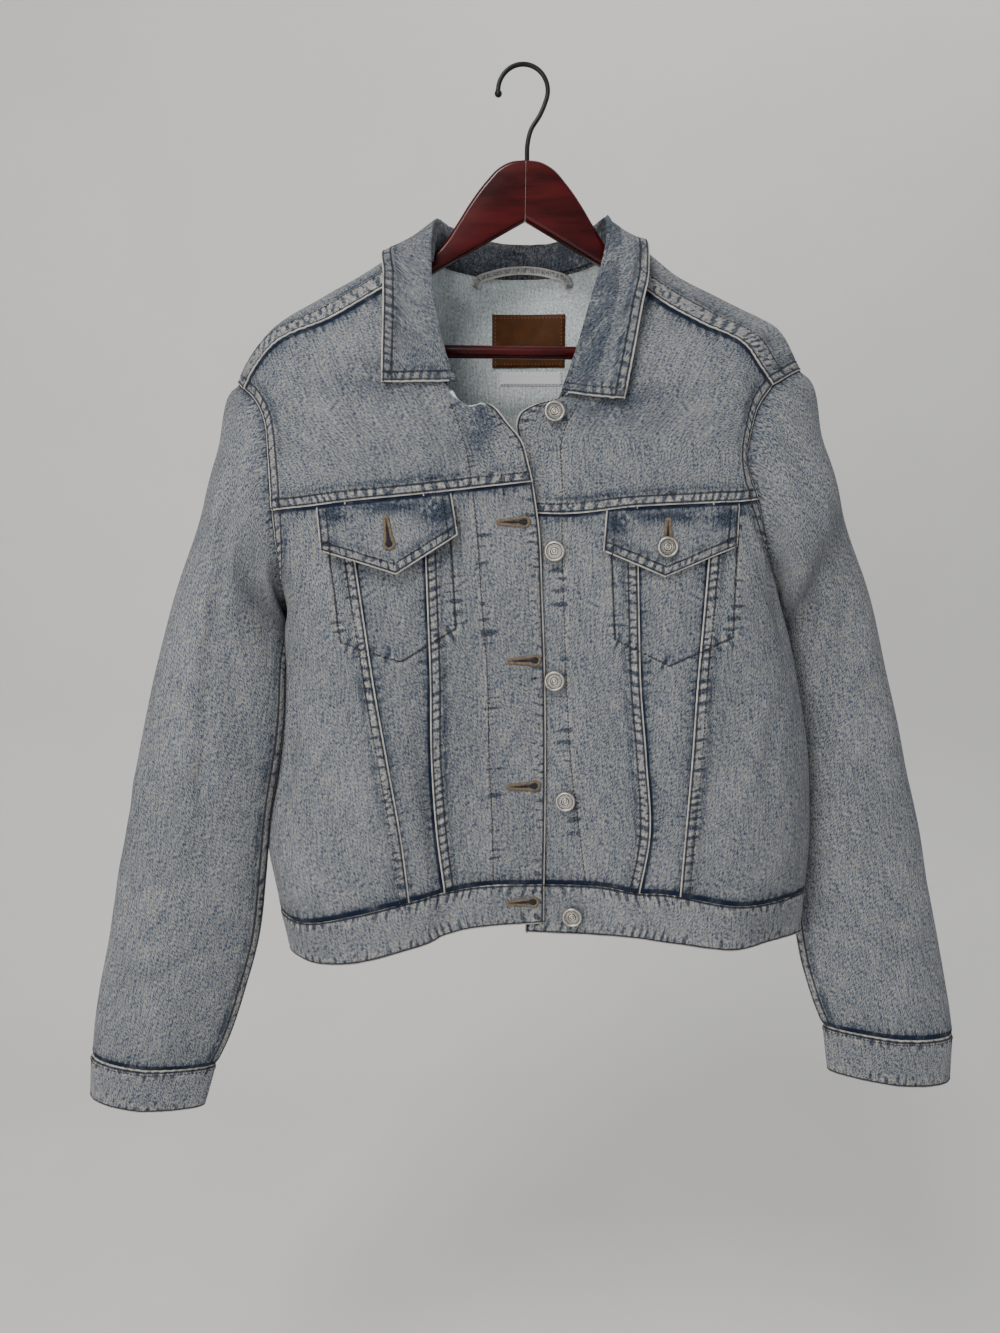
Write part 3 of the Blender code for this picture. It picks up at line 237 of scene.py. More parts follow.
YOKE_L = (
    ((203, -31, -258), (188, -43, -278), (181, -50, -300), (178, -54, -319),
     (184, -56, -341), (187.8, -56, -352)),
    ((179, -32, -228), (172, -48, -264), (170, -58, -310), (171, -63, -354)),
    ((143, -31, -209), (146, -50, -258), (148, -61, -305), (148.6, -66, -355)),
    ((108, -28, -190), (99, -48, -240), (92, -62, -296), (88.2, -68, -358)),
    ((87, -24, -173), (64, -45, -225), (41, -53, -272), (28, -57, -300),
     (28, -59, -345), (27.8, -60, -363.7)),
    ((79, -23, -166), (66, -31, -190), (52, -40, -222), (41, -46, -250),
     (34, -49, -266), (22, -53, -272), (4, -56, -277), (-7, -57, -284),
     (-9.6, -57, -292), (-8, -56, -304), (-12, -55, -328), (-18, -55, -362)),
)
SHOULDER_SEAM_R = ((-236.5, -21, -260), (-226, -28, -245), (-209, -31, -226),
                   (-160, -31, -204), (-122, -27, -182), (-90, -23, -163))
SHOULDER_SEAM_L = ((203, -31, -258), (191, -33, -243), (180, -33, -228),
                   (141, -31, -208), (107, -28, -189), (79, -23, -166))

# The collar: where it stops on the fronts, and its fold's apex and outer edge at
# stations along the neckline, from the wearer's right end to the left.
COLLAR_END_R, COLLAR_END_L = 0.435, 0.48
COLLAR = (
    Fold(0.00, (-57.5, -54.5, -258), (-116.5, -65, -260)),
    Fold(0.10, (-66, -51, -234), (-116.5, -58, -232)),
    Fold(0.20, (-74.5, -42, -196), (-116.5, -46, -196)),
    Fold(0.28, (-78, -31, -165), (-117, -37, -171)),
    Fold(0.36, (-76, -5, -120.5), (-117.5, -6, -147.5)),
    Fold(0.42, (-63.5, 21, -119.5), (-93, 40, -171)),
    Fold(0.48, (-34, 37, -126), (-50, 56, -190)),
    Fold(0.535, (-3, 42.5, -128), (-5, 59, -193)),
    Fold(0.59, (30, 37, -127), (40, 56, -190)),
    Fold(0.65, (56, 21, -119), (77, 40, -171)),
    Fold(0.705, (66.5, -5, -119), (98.5, -6, -138)),
    Fold(0.76, (62.5, -28, -150), (98, -38, -167)),
    Fold(0.83, (52, -39, -187), (92, -47, -197)),
    Fold(0.91, (39.5, -47, -229), (84, -59, -236)),
    Fold(1.00, (26.5, -55, -266.5), (76.5, -66, -273)),
)

# The sleeves, ring by ring below the armhole: the ends across the ring, its centre's y
# and its half depth.
SLEEVE_R = (
    Ring(-262, -315, -210.5, -460, -10, 47),
    Ring(-281, -384, -210.5, -468, -20, 41),
    Ring(-298, -438, -211, -481, -32, 34),
    Ring(-310, -484, -212, -502, -40, 30.5),
    Ring(-325, -540, -214.5, -552, -44, 28.5),
    Ring(-340, -602, -221.5, -612, -43, 28),
    Ring(-354.5, -664, -227, -672, -41, 27.5),
    Ring(-366.5, -722, -235, -729, -39, 27),
    Ring(-376.5, -772, -249.5, -780, -38, 26.5),
    Ring(-383.5, -812, -264, -822, -37, 25),
    Ring(-387.5, -840, -278, -851, -36, 22.5),
)
SLEEVE_L = (
    Ring(252, -308, 220, -446, -10, 42),
    Ring(277, -372, 224, -455, 4, 34),
    Ring(298, -420, 229, -468, 10, 31),
    Ring(314, -468, 232, -494, 13, 29),
    Ring(328.5, -522, 234, -544, 13, 28),
    Ring(342, -578, 237, -598, 9, 28),
    Ring(355.5, -640, 243, -656, 5, 27.5),
    Ring(367.5, -700, 246.5, -712, 1, 27),
    Ring(377.5, -752, 253, -760, -6, 26.5),
    Ring(385.5, -798, 264, -800, -13, 25),
    Ring(389, -830, 273, -823, -18, 22.5),
)
CUFF_R = (Ring(-387.6, -840.8, -278.6, -851.5, -36, 23.1),
          Ring(-390.5, -880, -290.5, -891, -36, 22.5))
CUFF_L = (Ring(389.3, -830.9, 273.6, -823.6, -18, 23.1),
          Ring(389.5, -876, 280, -868, -18, 22.5))

# What lies on the fronts, as (x, z) seen from the front. "out" is the side seam's side.
FLAP_R = Pocket((-169.5, -358.6), (-61.6, -347.4), (-164.5, -393), (-105.7, -412),
                (-57, -380.5))
FLAP_L = Pocket((170, -355.6), (63.2, -361), (167.1, -390), (109.9, -414), (61.3, -393))
BAG_R = Pocket((-163, -366), (-63.5, -356), (-152.3, -467), (-102.6, -482.5),
               (-58.2, -456))
BAG_L = Pocket((169, -362), (66, -368), (167, -463), (115.4, -486), (71.2, -465))
FLAP_LIFT = {"r": 7.4, "l": 2.6}
FRONT_BUTTONS = ((20.9, -283), (22.3, -393.5), (23, -500), (33, -601.7), (39.6, -702.5))
POCKET_BUTTON_R = (-110.5, -396)
POCKET_BUTTON_L = (111.3, -390.3)

# Inside the back yoke, as (low x, high x, high z, low z).
PATCH = (-29.6, 35.4, -187, -232.5)
LABEL = (-22.7, 33.9, -236.4, -248.4)
LOOP_PATH = ((-44, 2, -166), (-41, 4.3, -160), (-30, 8, -156), (-12, 10.5, -152.6),
             (6, 10.5, -152.6), (24, 8, -156), (35, 4.3, -160), (38, 2, -166))

# The hanger's board, as (x, z) of one arm's outline, and its bar and hook.
ARM_TOP = ((0.15, -73.2), (12, -74.6), (22, -79.5), (33, -90.5), (45, -106),
           (57, -124.5), (66, -138), (76, -148.5), (90, -156), (120, -167),
           (150, -181.5), (180, -197.5), (203, -210.5))
ARM_TIP = ((211, -218), (213, -227), (207, -238))
ARM_FOOT = ((197, -241), (181, -239), (176, -233), (176, -220))
ARM_UNDER = ((172, -216), (140, -200), (110, -183), (77.5, -164), (57, -152.5),
             (32, -138.5), (14, -128.5), (0.15, -121))
BAR_Z, BAR_END = -227.0, 175.6
HOOK_CENTRE = (-3.5, -18.6)
HOOK_RADIUS = 20.4
HOOK_TIP, HOOK_TURN = math.radians(186), math.radians(-22)
STEM = ((10.5, -37.5), (3.2, -49), (0.4, -60), (0, -72.6))
BALL_RADIUS = 3.1

# Main creases as paths of (x, z) over a piece, with their depth and width. A valley runs
# along the path, and a ridge stands on its right-hand side.
Crease = namedtuple("Crease", "piece path depth width")
CREASES = (
    Crease("front_side_r", ((-196, -414), (-201, -434), (-207, -456)), 2.4, 4),
    Crease("front_side_r", ((-190, -505), (-194, -536), (-201, -585), (-206, -613),
                            (-209, -628)), 2.6, 5.5),
    Crease("front_side_r", ((-170, -470), (-150, -520), (-138, -575)), 1.2, 12),
    Crease("front_side_r", ((-220, -660), (-214, -690), (-205, -715)), 1.6, 7),
    Crease("front_side_l", ((203, -430), (212, -452), (218, -480)), 2.0, 5),
    Crease("front_side_l", ((215, -500), (204, -550), (196, -610)), 2.2, 8),
    Crease("front_side_l", ((160, -480), (168, -540), (160, -600)), 1.1, 11),
    Crease("front_yoke_r", ((-214, -262), (-196, -292), (-186, -330)), 1.6, 9),
    Crease("front_yoke_r", ((-60, -262), (-56, -300), (-52, -345)), 1.4, 5),
    Crease("front_yoke_r", ((-50, -322), (-30, -330), (-8, -333)), 1.0, 6),
    Crease("front_yoke_l", ((218, -262), (202, -296), (196, -336)), 1.7, 9),
    Crease("front_yoke_l", ((120, -230), (104, -275), (98, -330)), 1.0, 12),
    Crease("front_centre_r", ((-52, -420), (-34, -424), (-12, -420)), 0.9, 4),
    Crease("front_centre_r", ((-54, -520), (-40, -526), (-20, -524)), 0.9, 4),
    Crease("front_centre_r", ((-50, -610), (-30, -606), (-8, -612)), 1.0, 5),
    Crease("front_centre_r", ((-48, -668), (-30, -676), (-6, -672)), 1.1, 5),
    Crease("front_centre_l", ((34, -450), (48, -446), (60, -452)), 0.9, 4),
    Crease("front_centre_l", ((30, -556), (44, -562), (64, -558)), 0.9, 5),
    Crease("front_centre_l", ((36, -640), (52, -634), (70, -640)), 1.0, 5),
    Crease("sleeve_front_r", ((-231, -271), (-236, -320), (-247, -378), (-253, -432),
                              (-259, -479), (-268, -559), (-276, -633)), 3.2, 6),
    Crease("sleeve_front_r", ((-240, -262), (-262, -340), (-282, -430), (-298, -530)), 1.5, 11),
    Crease("sleeve_front_r", ((-252, -560), (-290, -598), (-335, -612)), 2.0, 10),
    Crease("sleeve_front_r", ((-262, -640), (-300, -672), (-348, -690)), 1.7, 11),
    Crease("sleeve_front_r", ((-278, -735), (-312, -760), (-352, -768)), 1.5, 9),
    Crease("sleeve_front_l", ((207, -286), (218, -318), (226, -352)), 3.0, 7),
    Crease("sleeve_front_l", ((226, -268), (236, -350), (252, -450), (272, -560)), 2.4, 8),
    Crease("sleeve_front_l", ((252, -340), (268, -430), (286, -530), (304, -620)), 1.3, 10),
    Crease("sleeve_front_l", ((256, -560), (290, -590), (328, -600)), 1.9, 10),
    Crease("sleeve_front_l", ((276, -668), (312, -690), (354, -696)), 1.8, 10),
    Crease("sleeve_front_l", ((300, -742), (334, -758), (366, -760)), 1.4, 8),
    Crease("sleeve_back_r", ((-236, -300), (-262, -390), (-276, -490)), 2.6, 12),
    Crease("sleeve_back_r", ((-262, -560), (-300, -590), (-338, -596)), 2.0, 10),
    Crease("sleeve_back_r", ((-272, -668), (-310, -690), (-350, -700)), 1.8, 9),
    Crease("sleeve_back_l", ((226, -300), (252, -400), (270, -500)), 2.4, 12),
    Crease("sleeve_back_l", ((262, -580), (300, -604), (336, -606)), 2.1, 9),
    Crease("sleeve_back_l", ((288, -700), (322, -716), (356, -716)), 1.6, 10),
    Crease("back_panel", ((-150, -300), (-166, -380), (-172, -470)), 2.0, 13),
    Crease("back_panel", ((158, -310), (168, -400), (166, -500)), 1.8, 12),
    Crease("back_panel", ((-60, -520), (-52, -600), (-58, -690)), 1.6, 14),
    Crease("back_panel", ((44, -560), (56, -630), (50, -705)), 1.4, 12),
    Crease("back_panel", ((-190, -600), (-176, -650), (-170, -712)), 1.9, 9),
    Crease("back_yoke", ((-120, -190), (-104, -220), (-98, -262)), 1.2, 11),
    Crease("back_yoke", ((124, -196), (110, -226), (108, -268)), 1.2, 10),
    Crease("cuff_r", ((-356, -822), (-320, -816), (-278, -818)), 1.2, 3.5),
    Crease("cuff_l", ((300, -796), (340, -806), (386, -806)), 1.1, 3.5),
)

# Darker patches of the cloth: some kept more of the indigo, and some are painted shade, below
# # the collar's ends on the yokes and along the flaps' tops under the chest seam. For each: the
# # piece, its place (x, z), its half width and height, and how much.
DYE_AND_SHADE_PATCHES = (
    ("flap_r", (-156, -364), (16, 8), 1.2), ("flap_r", (-72, -362), (17, 13), 1.3),
    ("flap_r", (-115, -358), (50, 7), 1.0), ("flap_l", (115, -366), (50, 7), 1.0),
    ("flap_l", (160, -368), (15, 11), 1.3), ("flap_l", (72, -370), (12, 14), 1.2),
    ("front_yoke_r", (-40, -292), (19, 34), 0.75), ("front_yoke_r", (-110, -254), (46, 17), 0.7),
    ("front_yoke_l", (66, -272), (44, 24), 0.75), ("front_side_r", (-157, -372), (7, 18), 0.6),
    ("front_centre_r", (-66, -392), (10, 26), 0.5), ("front_side_l", (161, -378), (8, 20), 0.6),
    ("front_centre_l", (73, -386), (8, 18), 0.6),
)


def spline(knots, points, at):
    """Points on the smooth curve through the given ones. A knot given twice is a corner."""
    knots = np.asarray(knots, float)
    points = np.asarray(points, float)
    at = np.atleast_1d(np.asarray(at, float))
    found = np.empty(at.shape + points.shape[1:])
    corners = [i + 1 for i in range(len(knots) - 1) if knots[i] == knots[i + 1]]
    for first, end in zip([0] + corners, corners + [len(knots)]):
        low = -np.inf if first == 0 else knots[first]
        inside = (at >= low) & (at <= (np.inf if end == len(knots) else knots[end - 1]))
        if inside.any():
            found[inside] = smooth_run(knots[first:end], points[first:end], at[inside])
    return found


def smooth_run(knots, points, at):
    """Cubic Hermite curve whose slope at each point comes from its two neighbours."""
    steps = np.diff(knots)
    shape = (-1,) + (1,) * (points.ndim - 1)
    slopes = np.diff(points, axis=0) / steps.reshape(shape)
    tangents = np.empty_like(points)
    tangents[0], tangents[-1] = slopes[0], slopes[-1]
    if len(knots) > 2:
        before, after = steps[:-1].reshape(shape), steps[1:].reshape(shape)
        tangents[1:-1] = (after * slopes[:-1] + before * slopes[1:]) / (before + after)
    index = np.clip(np.searchsorted(knots, at, side="right") - 1, 0, len(knots) - 2)
    span = steps[index].reshape(shape)
    u = ((at - knots[index]) / steps[index]).reshape(shape)
    start, stop = points[index], points[index + 1]
    leave, arrive = tangents[index] * span, tangents[index + 1] * span
    return ((2 * u**3 - 3 * u**2 + 1) * start + (u**3 - 2 * u**2 + u) * leave
            + (3 * u**2 - 2 * u**3) * stop + (u**3 - u**2) * arrive)


def along(points, at):
    """Points at fractions of the length of the smooth curve through the given ones."""
    points = np.asarray(points, float)
    lengths = np.linalg.norm(np.diff(points, axis=0), axis=1)
    return spline(np.concatenate([[0], np.cumsum(lengths)]) / lengths.sum(), points, at)


def unit(vectors):
    return vectors / np.linalg.norm(vectors, axis=-1, keepdims=True)


def level_points(plan, heights):
    """(t, columns x 3) knots of a table of plans, with the heights read between theirs."""
    known = [row.t for row in heights]
    knots = [row.t for row in plan]
    z = np.array([row[1:] for row in heights], float)
    points = [
        np.column_stack([np.array(row[1:], float), [np.interp(row.t, known, z[:, c])
                                                    for c in range(z.shape[1])]])
        for row in plan
    ]
    return knots, np.array(points)


class Surface:
    """A smooth surface through columns, each given by its knots and its points."""

    def __init__(self, stations, columns):
        self.stations = stations
        self.columns = columns

    def at(self, s, t):
        s, t = np.broadcast_arrays(np.asarray(s, float), np.asarray(t, float))
        weights = spline(self.stations, np.eye(len(self.stations)), s.ravel())
        lines = np.array([spline(knots, points, t.ravel()) for knots, points in self.columns])
        return np.einsum("nc,cnd->nd", weights, lines).reshape(s.shape + (3,))


def body_surface(stations, plan, heights):
    """A surface below the yoke seam. Its side columns turn a corner at the underarm."""
    knots, points = level_points(plan, heights)
    columns = []
    for c in range(points.shape[1]):
        column_knots, column = list(knots), list(points[:, c])
        corners = [2.0]
        if c == 0 or (len(stations) == len(BACK_S) and c == points.shape[1] - 1):
            corners.append(UNDERARM)
        for corner in corners:
            i = column_knots.index(corner)
            column_knots.insert(i, corner)
            column.insert(i, column[i])
        columns.append((column_knots, np.array(column)))
    return Surface(stations, columns)


def even(points):
    """A column whose points are spaced by the length between them, from t = 0 to 1."""
    points = np.asarray(points, float)
    lengths = np.linalg.norm(np.diff(points, axis=0), axis=1)
    return np.concatenate([[0], np.cumsum(lengths)]) / lengths.sum(), points


class Cloth:
    """A front or the back: its yoke, and below it the body, read as one surface."""

    def __init__(self, yoke, body, top_edge, outward):
        self.yoke = yoke
        self.body = body
        self.top_edge = top_edge
        self.outward = outward

    def at(self, s, t):
        s, t = np.broadcast_arrays(np.asarray(s, float), np.asarray(t, float))
        points = self.body.at(s, np.maximum(t, 1.0))
        high = t < 1.0
        if high.any():
            across, down = s[high], t[high]
            plain = self.yoke.at(across, down)
            low_miss = self.body.at(across, 1.0 + 0 * down) - self.yoke.at(across, 1.0 + 0 * down)
            seam, known = self.top_edge(across)
            top_miss = np.where(known[:, None], seam - self.yoke.at(across, 0 * down), 0)
            points[high] = (plain + low_miss * down[:, None] ** 3
                            + top_miss * (1 - down[:, None]) ** 3)
        return points

    def normal(self, s, t, step=0.004):
        s, t = np.broadcast_arrays(np.asarray(s, float), np.asarray(t, float))
        across = (self.at(np.clip(s + step, 0, 1), t) - self.at(np.clip(s - step, 0, 1), t))
        down = (self.at(s, np.clip(t + step, 0, 3)) - self.at(s, np.clip(t - step, 0, 3)))
        return unit(np.cross(across, down)) * self.outward

    def find(self, x, z, s=0.5, t=1.3):
        """(s, t) of the points that lie at x and z, by Newton's steps."""
        x, z = np.broadcast_arrays(np.asarray(x, float), np.asarray(z, float))
        s = np.full(x.shape, float(s))
        t = np.full(x.shape, float(t))
        step = 0.003
        for _ in range(14):
            here = self.at(s, t)
            by_s = (self.at(s + step, t) - here) / step
            by_t = (self.at(s, t + step) - here) / step
            miss_x, miss_z = x - here[..., 0], z - here[..., 2]
            scale = by_s[..., 0] * by_t[..., 2] - by_s[..., 2] * by_t[..., 0]
            s = np.clip(s + np.clip((miss_x * by_t[..., 2] - miss_z * by_t[..., 0]) / scale,
                                    -0.1, 0.1), 0, 1)
            t = np.clip(t + np.clip((by_s[..., 0] * miss_z - by_s[..., 2] * miss_x) / scale,
                                    -0.1, 0.1), 0, 3)
        return s, t


def make_front(plan, heights, yoke, seam, outward):
    def top_edge(s):
        return along(seam, s), np.ones(s.shape, bool)

    body = body_surface(FRONT_S, plan, heights)
    return Cloth(Surface(YOKE_S, [even(column) for column in yoke]), body, top_edge, outward)


def make_back():
    def top_edge(s):
        right = along(SHOULDER_SEAM_R, np.clip(s / NECK_R, 0, 1))
        left = along(SHOULDER_SEAM_L, np.clip((1 - s) / (1 - NECK_L), 0, 1))
        known = (s <= NECK_R) | (s >= NECK_L)
        return np.where((s <= NECK_R)[:, None], right, left), known

    columns = [((0, 0.2, 0.4, 0.7, 1.0), np.array(row[1:], float)) for row in BACK_YOKE]
    yoke = Surface([row.s for row in BACK_YOKE], columns)
    return Cloth(yoke, body_surface(BACK_S, BACK, BACK_Z), top_edge, 1)


FRONTS = {
    "r": make_front(FRONT_R, FRONT_R_Z, YOKE_R, SHOULDER_SEAM_R, -1),
    "l": make_front(FRONT_L, FRONT_L_Z, YOKE_L, SHOULDER_SEAM_L, 1),
}
BACK_CLOTH = make_back()


# How each kind of panel edge is finished: a lap is folded over its neighbour, an under
# edge runs beneath one, and a fold is a free doubled edge.
LAP, UNDER, FOLD, DOUBLE, PLAIN = "lap", "under", "fold", "double", "plain"
TUCKED, PIPED, GATHER, WIDE = "tucked", "piped", "gather", "wide"
UNDER_RUN = 3.0
FAR = 60.0

Finish = namedtuple("Finish", "left right top bottom")


def smooth_step(value, low, high):
    share = np.clip((value - low) / (high - low), 0, 1)
    return share * share * (3 - 2 * share)


def uneven(run, phase):
    """A slow wander along a seam, from -1 to 1, so that nothing repeats evenly."""
    return (0.6 * np.sin(run * 0.043 + phase * 2.1) + 0.3 * np.sin(run * 0.101 + phase)
            + 0.1 * np.sin(run * 0.23 + phase * 3.7))


def pucker_wave(run, phase):
    """The waves that washing draws into a seam, from -1 to 1, of uneven height."""
    size = bpy.context.scene.jacket_seams
    turns = run / (size.pucker_spacing / MM) + 0.9 * uneven(run, phase)
    wave = 0.8 * np.sin(2 * math.pi * turns) + 0.35 * np.sin(3.4 * math.pi * turns + phase)
    return wave * (0.75 + 0.25 * np.sin(run * 0.061 + phase * 5))


def line_distance(x, z, path):
    """Distance of points from a path in the (x, z) plane, the side of it, and the share."""
    path = np.asarray(path, float)
    lengths = np.linalg.norm(np.diff(path, axis=0), axis=1)
    total, so_far = lengths.sum(), 0.0
    best = np.full(x.shape, 1e9)
    side = np.zeros(x.shape)
    share = np.zeros(x.shape)
    for (ax, az), (bx, bz), length in zip(path[:-1], path[1:], lengths):
        ux, uz = (bx - ax) / length, (bz - az) / length
        on = np.clip((x - ax) * ux + (z - az) * uz, 0, length)
        away = np.hypot(x - ax - on * ux, z - az - on * uz)
        nearer = away < best
        best = np.where(nearer, away, best)
        side = np.where(nearer, (x - ax) * uz - (z - az) * ux, side)
        share = np.where(nearer, (so_far + on) / total, share)
        so_far += length
    return best, np.sign(side), share


class Shell:
    """A panel of cloth as a fine grid, with its distances from each edge in millimetres."""

    def __init__(self, name, points, outward, s=None, t=None, ring=False):
        self.name = name
        self.base = points
        self.ring = ring
        self.s, self.t = s, t
        self.outward = outward
        self.phase = sum(ord(letter) for letter in name) * 0.37
        self.normals = self.grid_normals(points)
        across = np.linalg.norm(np.diff(points, axis=0), axis=2)
        down = np.linalg.norm(np.diff(points, axis=1), axis=2)
        start_row, start_column = np.zeros((1, points.shape[1])), np.zeros((points.shape[0], 1))
        self.left = np.concatenate([start_row, np.cumsum(across, axis=0)])
        self.right = self.left[-1:] - self.left
        self.top = np.concatenate([start_column, np.cumsum(down, axis=1)], axis=1)
        self.bottom = self.top[:, -1:] - self.top
        self.relief = np.zeros(points.shape[:2])
        self.edge = np.full(points.shape[:2], FAR)
        self.shade = np.full(points.shape[:2], FAR)
        self.row = np.full(points.shape[:2], FAR)
        self.pucker = np.zeros(points.shape[:2])
        self.band = np.zeros(points.shape[:2])
        # How much darker the cloth is painted: indigo left beside the seams, and painted shade from
        # the table of dark patches.
        self.dye = np.zeros(points.shape[:2])
        self.points = points
        self.down = self.top

    def grid_normals(self, points):
        across = np.gradient(points, axis=0)
        if self.ring:
            both = points[1] - points[-2]
            across[0] = across[-1] = both
        return unit(np.cross(across, np.gradient(points, axis=1))) * self.outward

    def distance(self, edge):
        return getattr(self, edge)

    def run(self, edge):
        """Length along the seam at that edge, measured on the seam itself."""
        if edge in ("left", "right"):
            line = self.top[0 if edge == "left" else -1]
            return np.broadcast_to(line[None, :], self.relief.shape)
        line = self.left[:, 0 if edge == "top" else -1]
        return np.broadcast_to(line[:, None], self.relief.shape)

    def finish_edges(self, finish):
        """Raises laps, lowers what runs beneath them, and notes stitch rows and dye."""
        size = bpy.context.scene.jacket_seams
        depth = size.pucker_depth / MM
        for edge, kind in zip(finish._fields, finish):
            if kind == PLAIN:
                continue
            band = size.band_width / MM * (1.9 if kind == WIDE else 1.0)
            rows = (size.stitch_near / MM, band - 2.3)
            away = self.distance(edge)
            if kind == UNDER:
                away = np.maximum(away - UNDER_RUN, 0)
            run = self.run(edge)
            phase = 1.0 if edge in ("left", "right") else 2.0
            wave = pucker_wave(run + 0.3 * away, phase)
            some = 0.65 + 0.35 * uneven(run * 0.7, phase + 3)
            if kind in (UNDER, TUCKED):
                self.relief -= 0.7 * (1 - smooth_step(self.distance(edge), 0, UNDER_RUN + 1))
                spread = 0.75 * np.exp(-(away / 6) ** 2)
                self.shade = np.minimum(self.shade, away)
                left = 0.72 * some * np.exp(-(away / 4) ** 2) + 0.22 * np.exp(-(away / 17) ** 2)
                self.dye = np.maximum(self.dye, left)
            else:
                lap = kind in (LAP, WIDE)
                rise = size.lap_rise / MM if lap else 0.0
                self.relief += rise * (1 - smooth_step(away, band, band + 2.0))
                self.relief -= 0.6 * (1 - smooth_step(away, 0, 1.3))
                strong = 1.0 if kind in (LAP, DOUBLE, WIDE, PIPED) else 0.5
                spread = strong * np.exp(-((away - band * 0.5) / (band * 0.6)) ** 2)
                if kind == PIPED:
                    spread = spread * 0.4
                elif kind == GATHER:
                    spread = 0.9 * np.exp(-(away / 8) ** 2)
                    self.relief -= 1.5 * (1 - smooth_step(away, 0, 3.2))
                self.edge = np.minimum(self.edge, away)
                self.band = np.maximum(self.band, strong * (1 - smooth_step(away, band - 1,
                                                                            band + 1)))
                for row in rows if strong == 1.0 else rows[:1]:
                    self.row = np.minimum(self.row, np.abs(away - row))
                    self.relief -= 0.28 * np.exp(-((away - row) / 0.9) ** 2)
                if strong == 1.0:
                    beside = (np.exp(-((away - band - 1.0) / 2.8) ** 2)
                              + 0.4 * np.exp(-np.maximum(away - band, 0) / 11) * (away > band))
                    self.dye = np.maximum(self.dye, 0.95 * some * np.minimum(beside, 1))
            self.relief += depth * wave * spread
            self.pucker += wave * spread

    def outline(self, path, wander=0.0, strength=0.8):
        """A stitched line over the panel, with the ridges that a layer behind it draws."""
        x, z = self.base[..., 0], self.base[..., 2]
        away, side, share = line_distance(x, z, path)
        total = np.linalg.norm(np.diff(np.asarray(path, float), axis=0), axis=1).sum()
        run = share * total
        wave = pucker_wave(run * 0.8, 4.0 + wander)
        near = np.exp(-(away / 4.2) ** 2)
        self.row = np.minimum(self.row, away)
        self.relief += 0.65 * np.exp(-((away - 2.4) / 1.6) ** 2) * (side > 0)
        self.relief -= 0.35 * np.exp(-(away / 1.1) ** 2)
        self.relief += 0.45 * strength * wave * near
        wide = np.exp(-(away / 7) ** 2) * np.clip(0.55 + uneven(run * 1.3, wander), 0, 1)
        self.pucker += 1.3 * strength * wave * wide
        self.band = np.maximum(self.band, 0.9 * np.exp(-((away - 2.4) / 1.6) ** 2)
                               * (side > 0))

    def placket(self, path, wander=0.0):
        """The placket's stitch line, with wrinkles running from it to the front edge."""
        away, _, share = line_distance(self.base[..., 0], self.base[..., 2], path)
        total = np.linalg.norm(np.diff(path, axis=0), axis=1).sum()
        run = share * total
        toward = (self.s > 0.85)[:, None]
        wave = np.sin(2 * math.pi * (run / 8.5 + 1.4 * uneven(run * 1.3, wander)))
        wave = wave * np.clip(0.35 + 1.1 * uneven(run * 2.3, wander + 2), 0, 1)
        near = np.where(toward, np.exp(-(away / 10) ** 2), np.exp(-(away / 2.5) ** 2))
        self.relief += 0.5 * wave * near - 0.3 * np.exp(-(away / 1.1) ** 2)
        self.relief += 0.5 * np.exp(-((away - 2) / 1.5) ** 2) * ~toward
        self.pucker += 0.5 * np.minimum(wave, 0.3) * near
        self.row = np.minimum(self.row, away + 0.55)
        self.band = np.maximum(self.band, 0.8 * np.exp(-((away - 1.9) / 1.5) ** 2) * ~toward)

    def darken_with_patches(self, dark_patches):
        """Darker patches, of unfaded cloth and of painted shade, as (x, z, width, height, amount).
        """
        x, z = self.base[..., 0], self.base[..., 2]
        for name, place, size, amount in dark_patches:
            if name in self.name:
                away = np.hypot((x - place[0]) / size[0], (z - place[1]) / size[1])
                self.dye = np.maximum(self.dye, amount * np.exp(-away ** 2))

    def crease(self, creases):
        x, z = self.base[..., 0], self.base[..., 2]
        for fold in creases:
            if fold.piece != self.name:
                continue
            away, side, share = line_distance(x, z, fold.path)
            fade = np.sin(math.pi * np.clip(share, 0.02, 0.98)) ** 0.6
            valley = np.exp(-(away / fold.width) ** 2)
            ridge = np.exp(-((side * away - 1.8 * fold.width) / fold.width) ** 2)
            shape = (-valley + 0.5 * ridge) * fade
            self.relief += fold.depth * shape
            self.pucker += 0.05 * np.clip(fold.depth / 3, 0, 1) * shape

    def ripple(self, height, length):
        """Soft unevenness of washed cloth over the whole panel."""
        u, v, p = self.left / length, self.top / length, self.phase
        wave = (np.sin(2.3 * u + 1.3 * v + p) + np.sin(-1.1 * u + 2.9 * v + 2 * p)
                + 0.6 * np.sin(4.7 * u - 2.1 * v + 3 * p)) / 2.6
        calm = smooth_step(np.minimum(np.minimum(self.left, self.right),
                                      np.minimum(self.top, self.bottom)), 0, 25)
        self.relief += height * wave * calm

    def settle(self):
        self.points = self.base + self.normals * self.relief[..., None]
        self.normals = self.grid_normals(self.points)

    def at(self, s, t, lift=0.0):
        """Points and normals of the finished surface at (s, t), between the grid's lines."""
        i = np.clip(np.searchsorted(self.s, s) - 1, 0, len(self.s) - 2)
        j = np.clip(np.searchsorted(self.t, t) - 1, 0, len(self.t) - 2)
        a = np.clip((s - self.s[i]) / (self.s[i + 1] - self.s[i]), 0, 1)[:, None]
        b = np.clip((t - self.t[j]) / (self.t[j + 1] - self.t[j]), 0, 1)[:, None]

        def mixed(grid):
            return ((grid[i, j] * (1 - b) + grid[i, j + 1] * b) * (1 - a)
                    + (grid[i + 1, j] * (1 - b) + grid[i + 1, j + 1] * b) * a)

        normals = unit(mixed(self.normals))
        return mixed(self.points) + normals * lift, normals

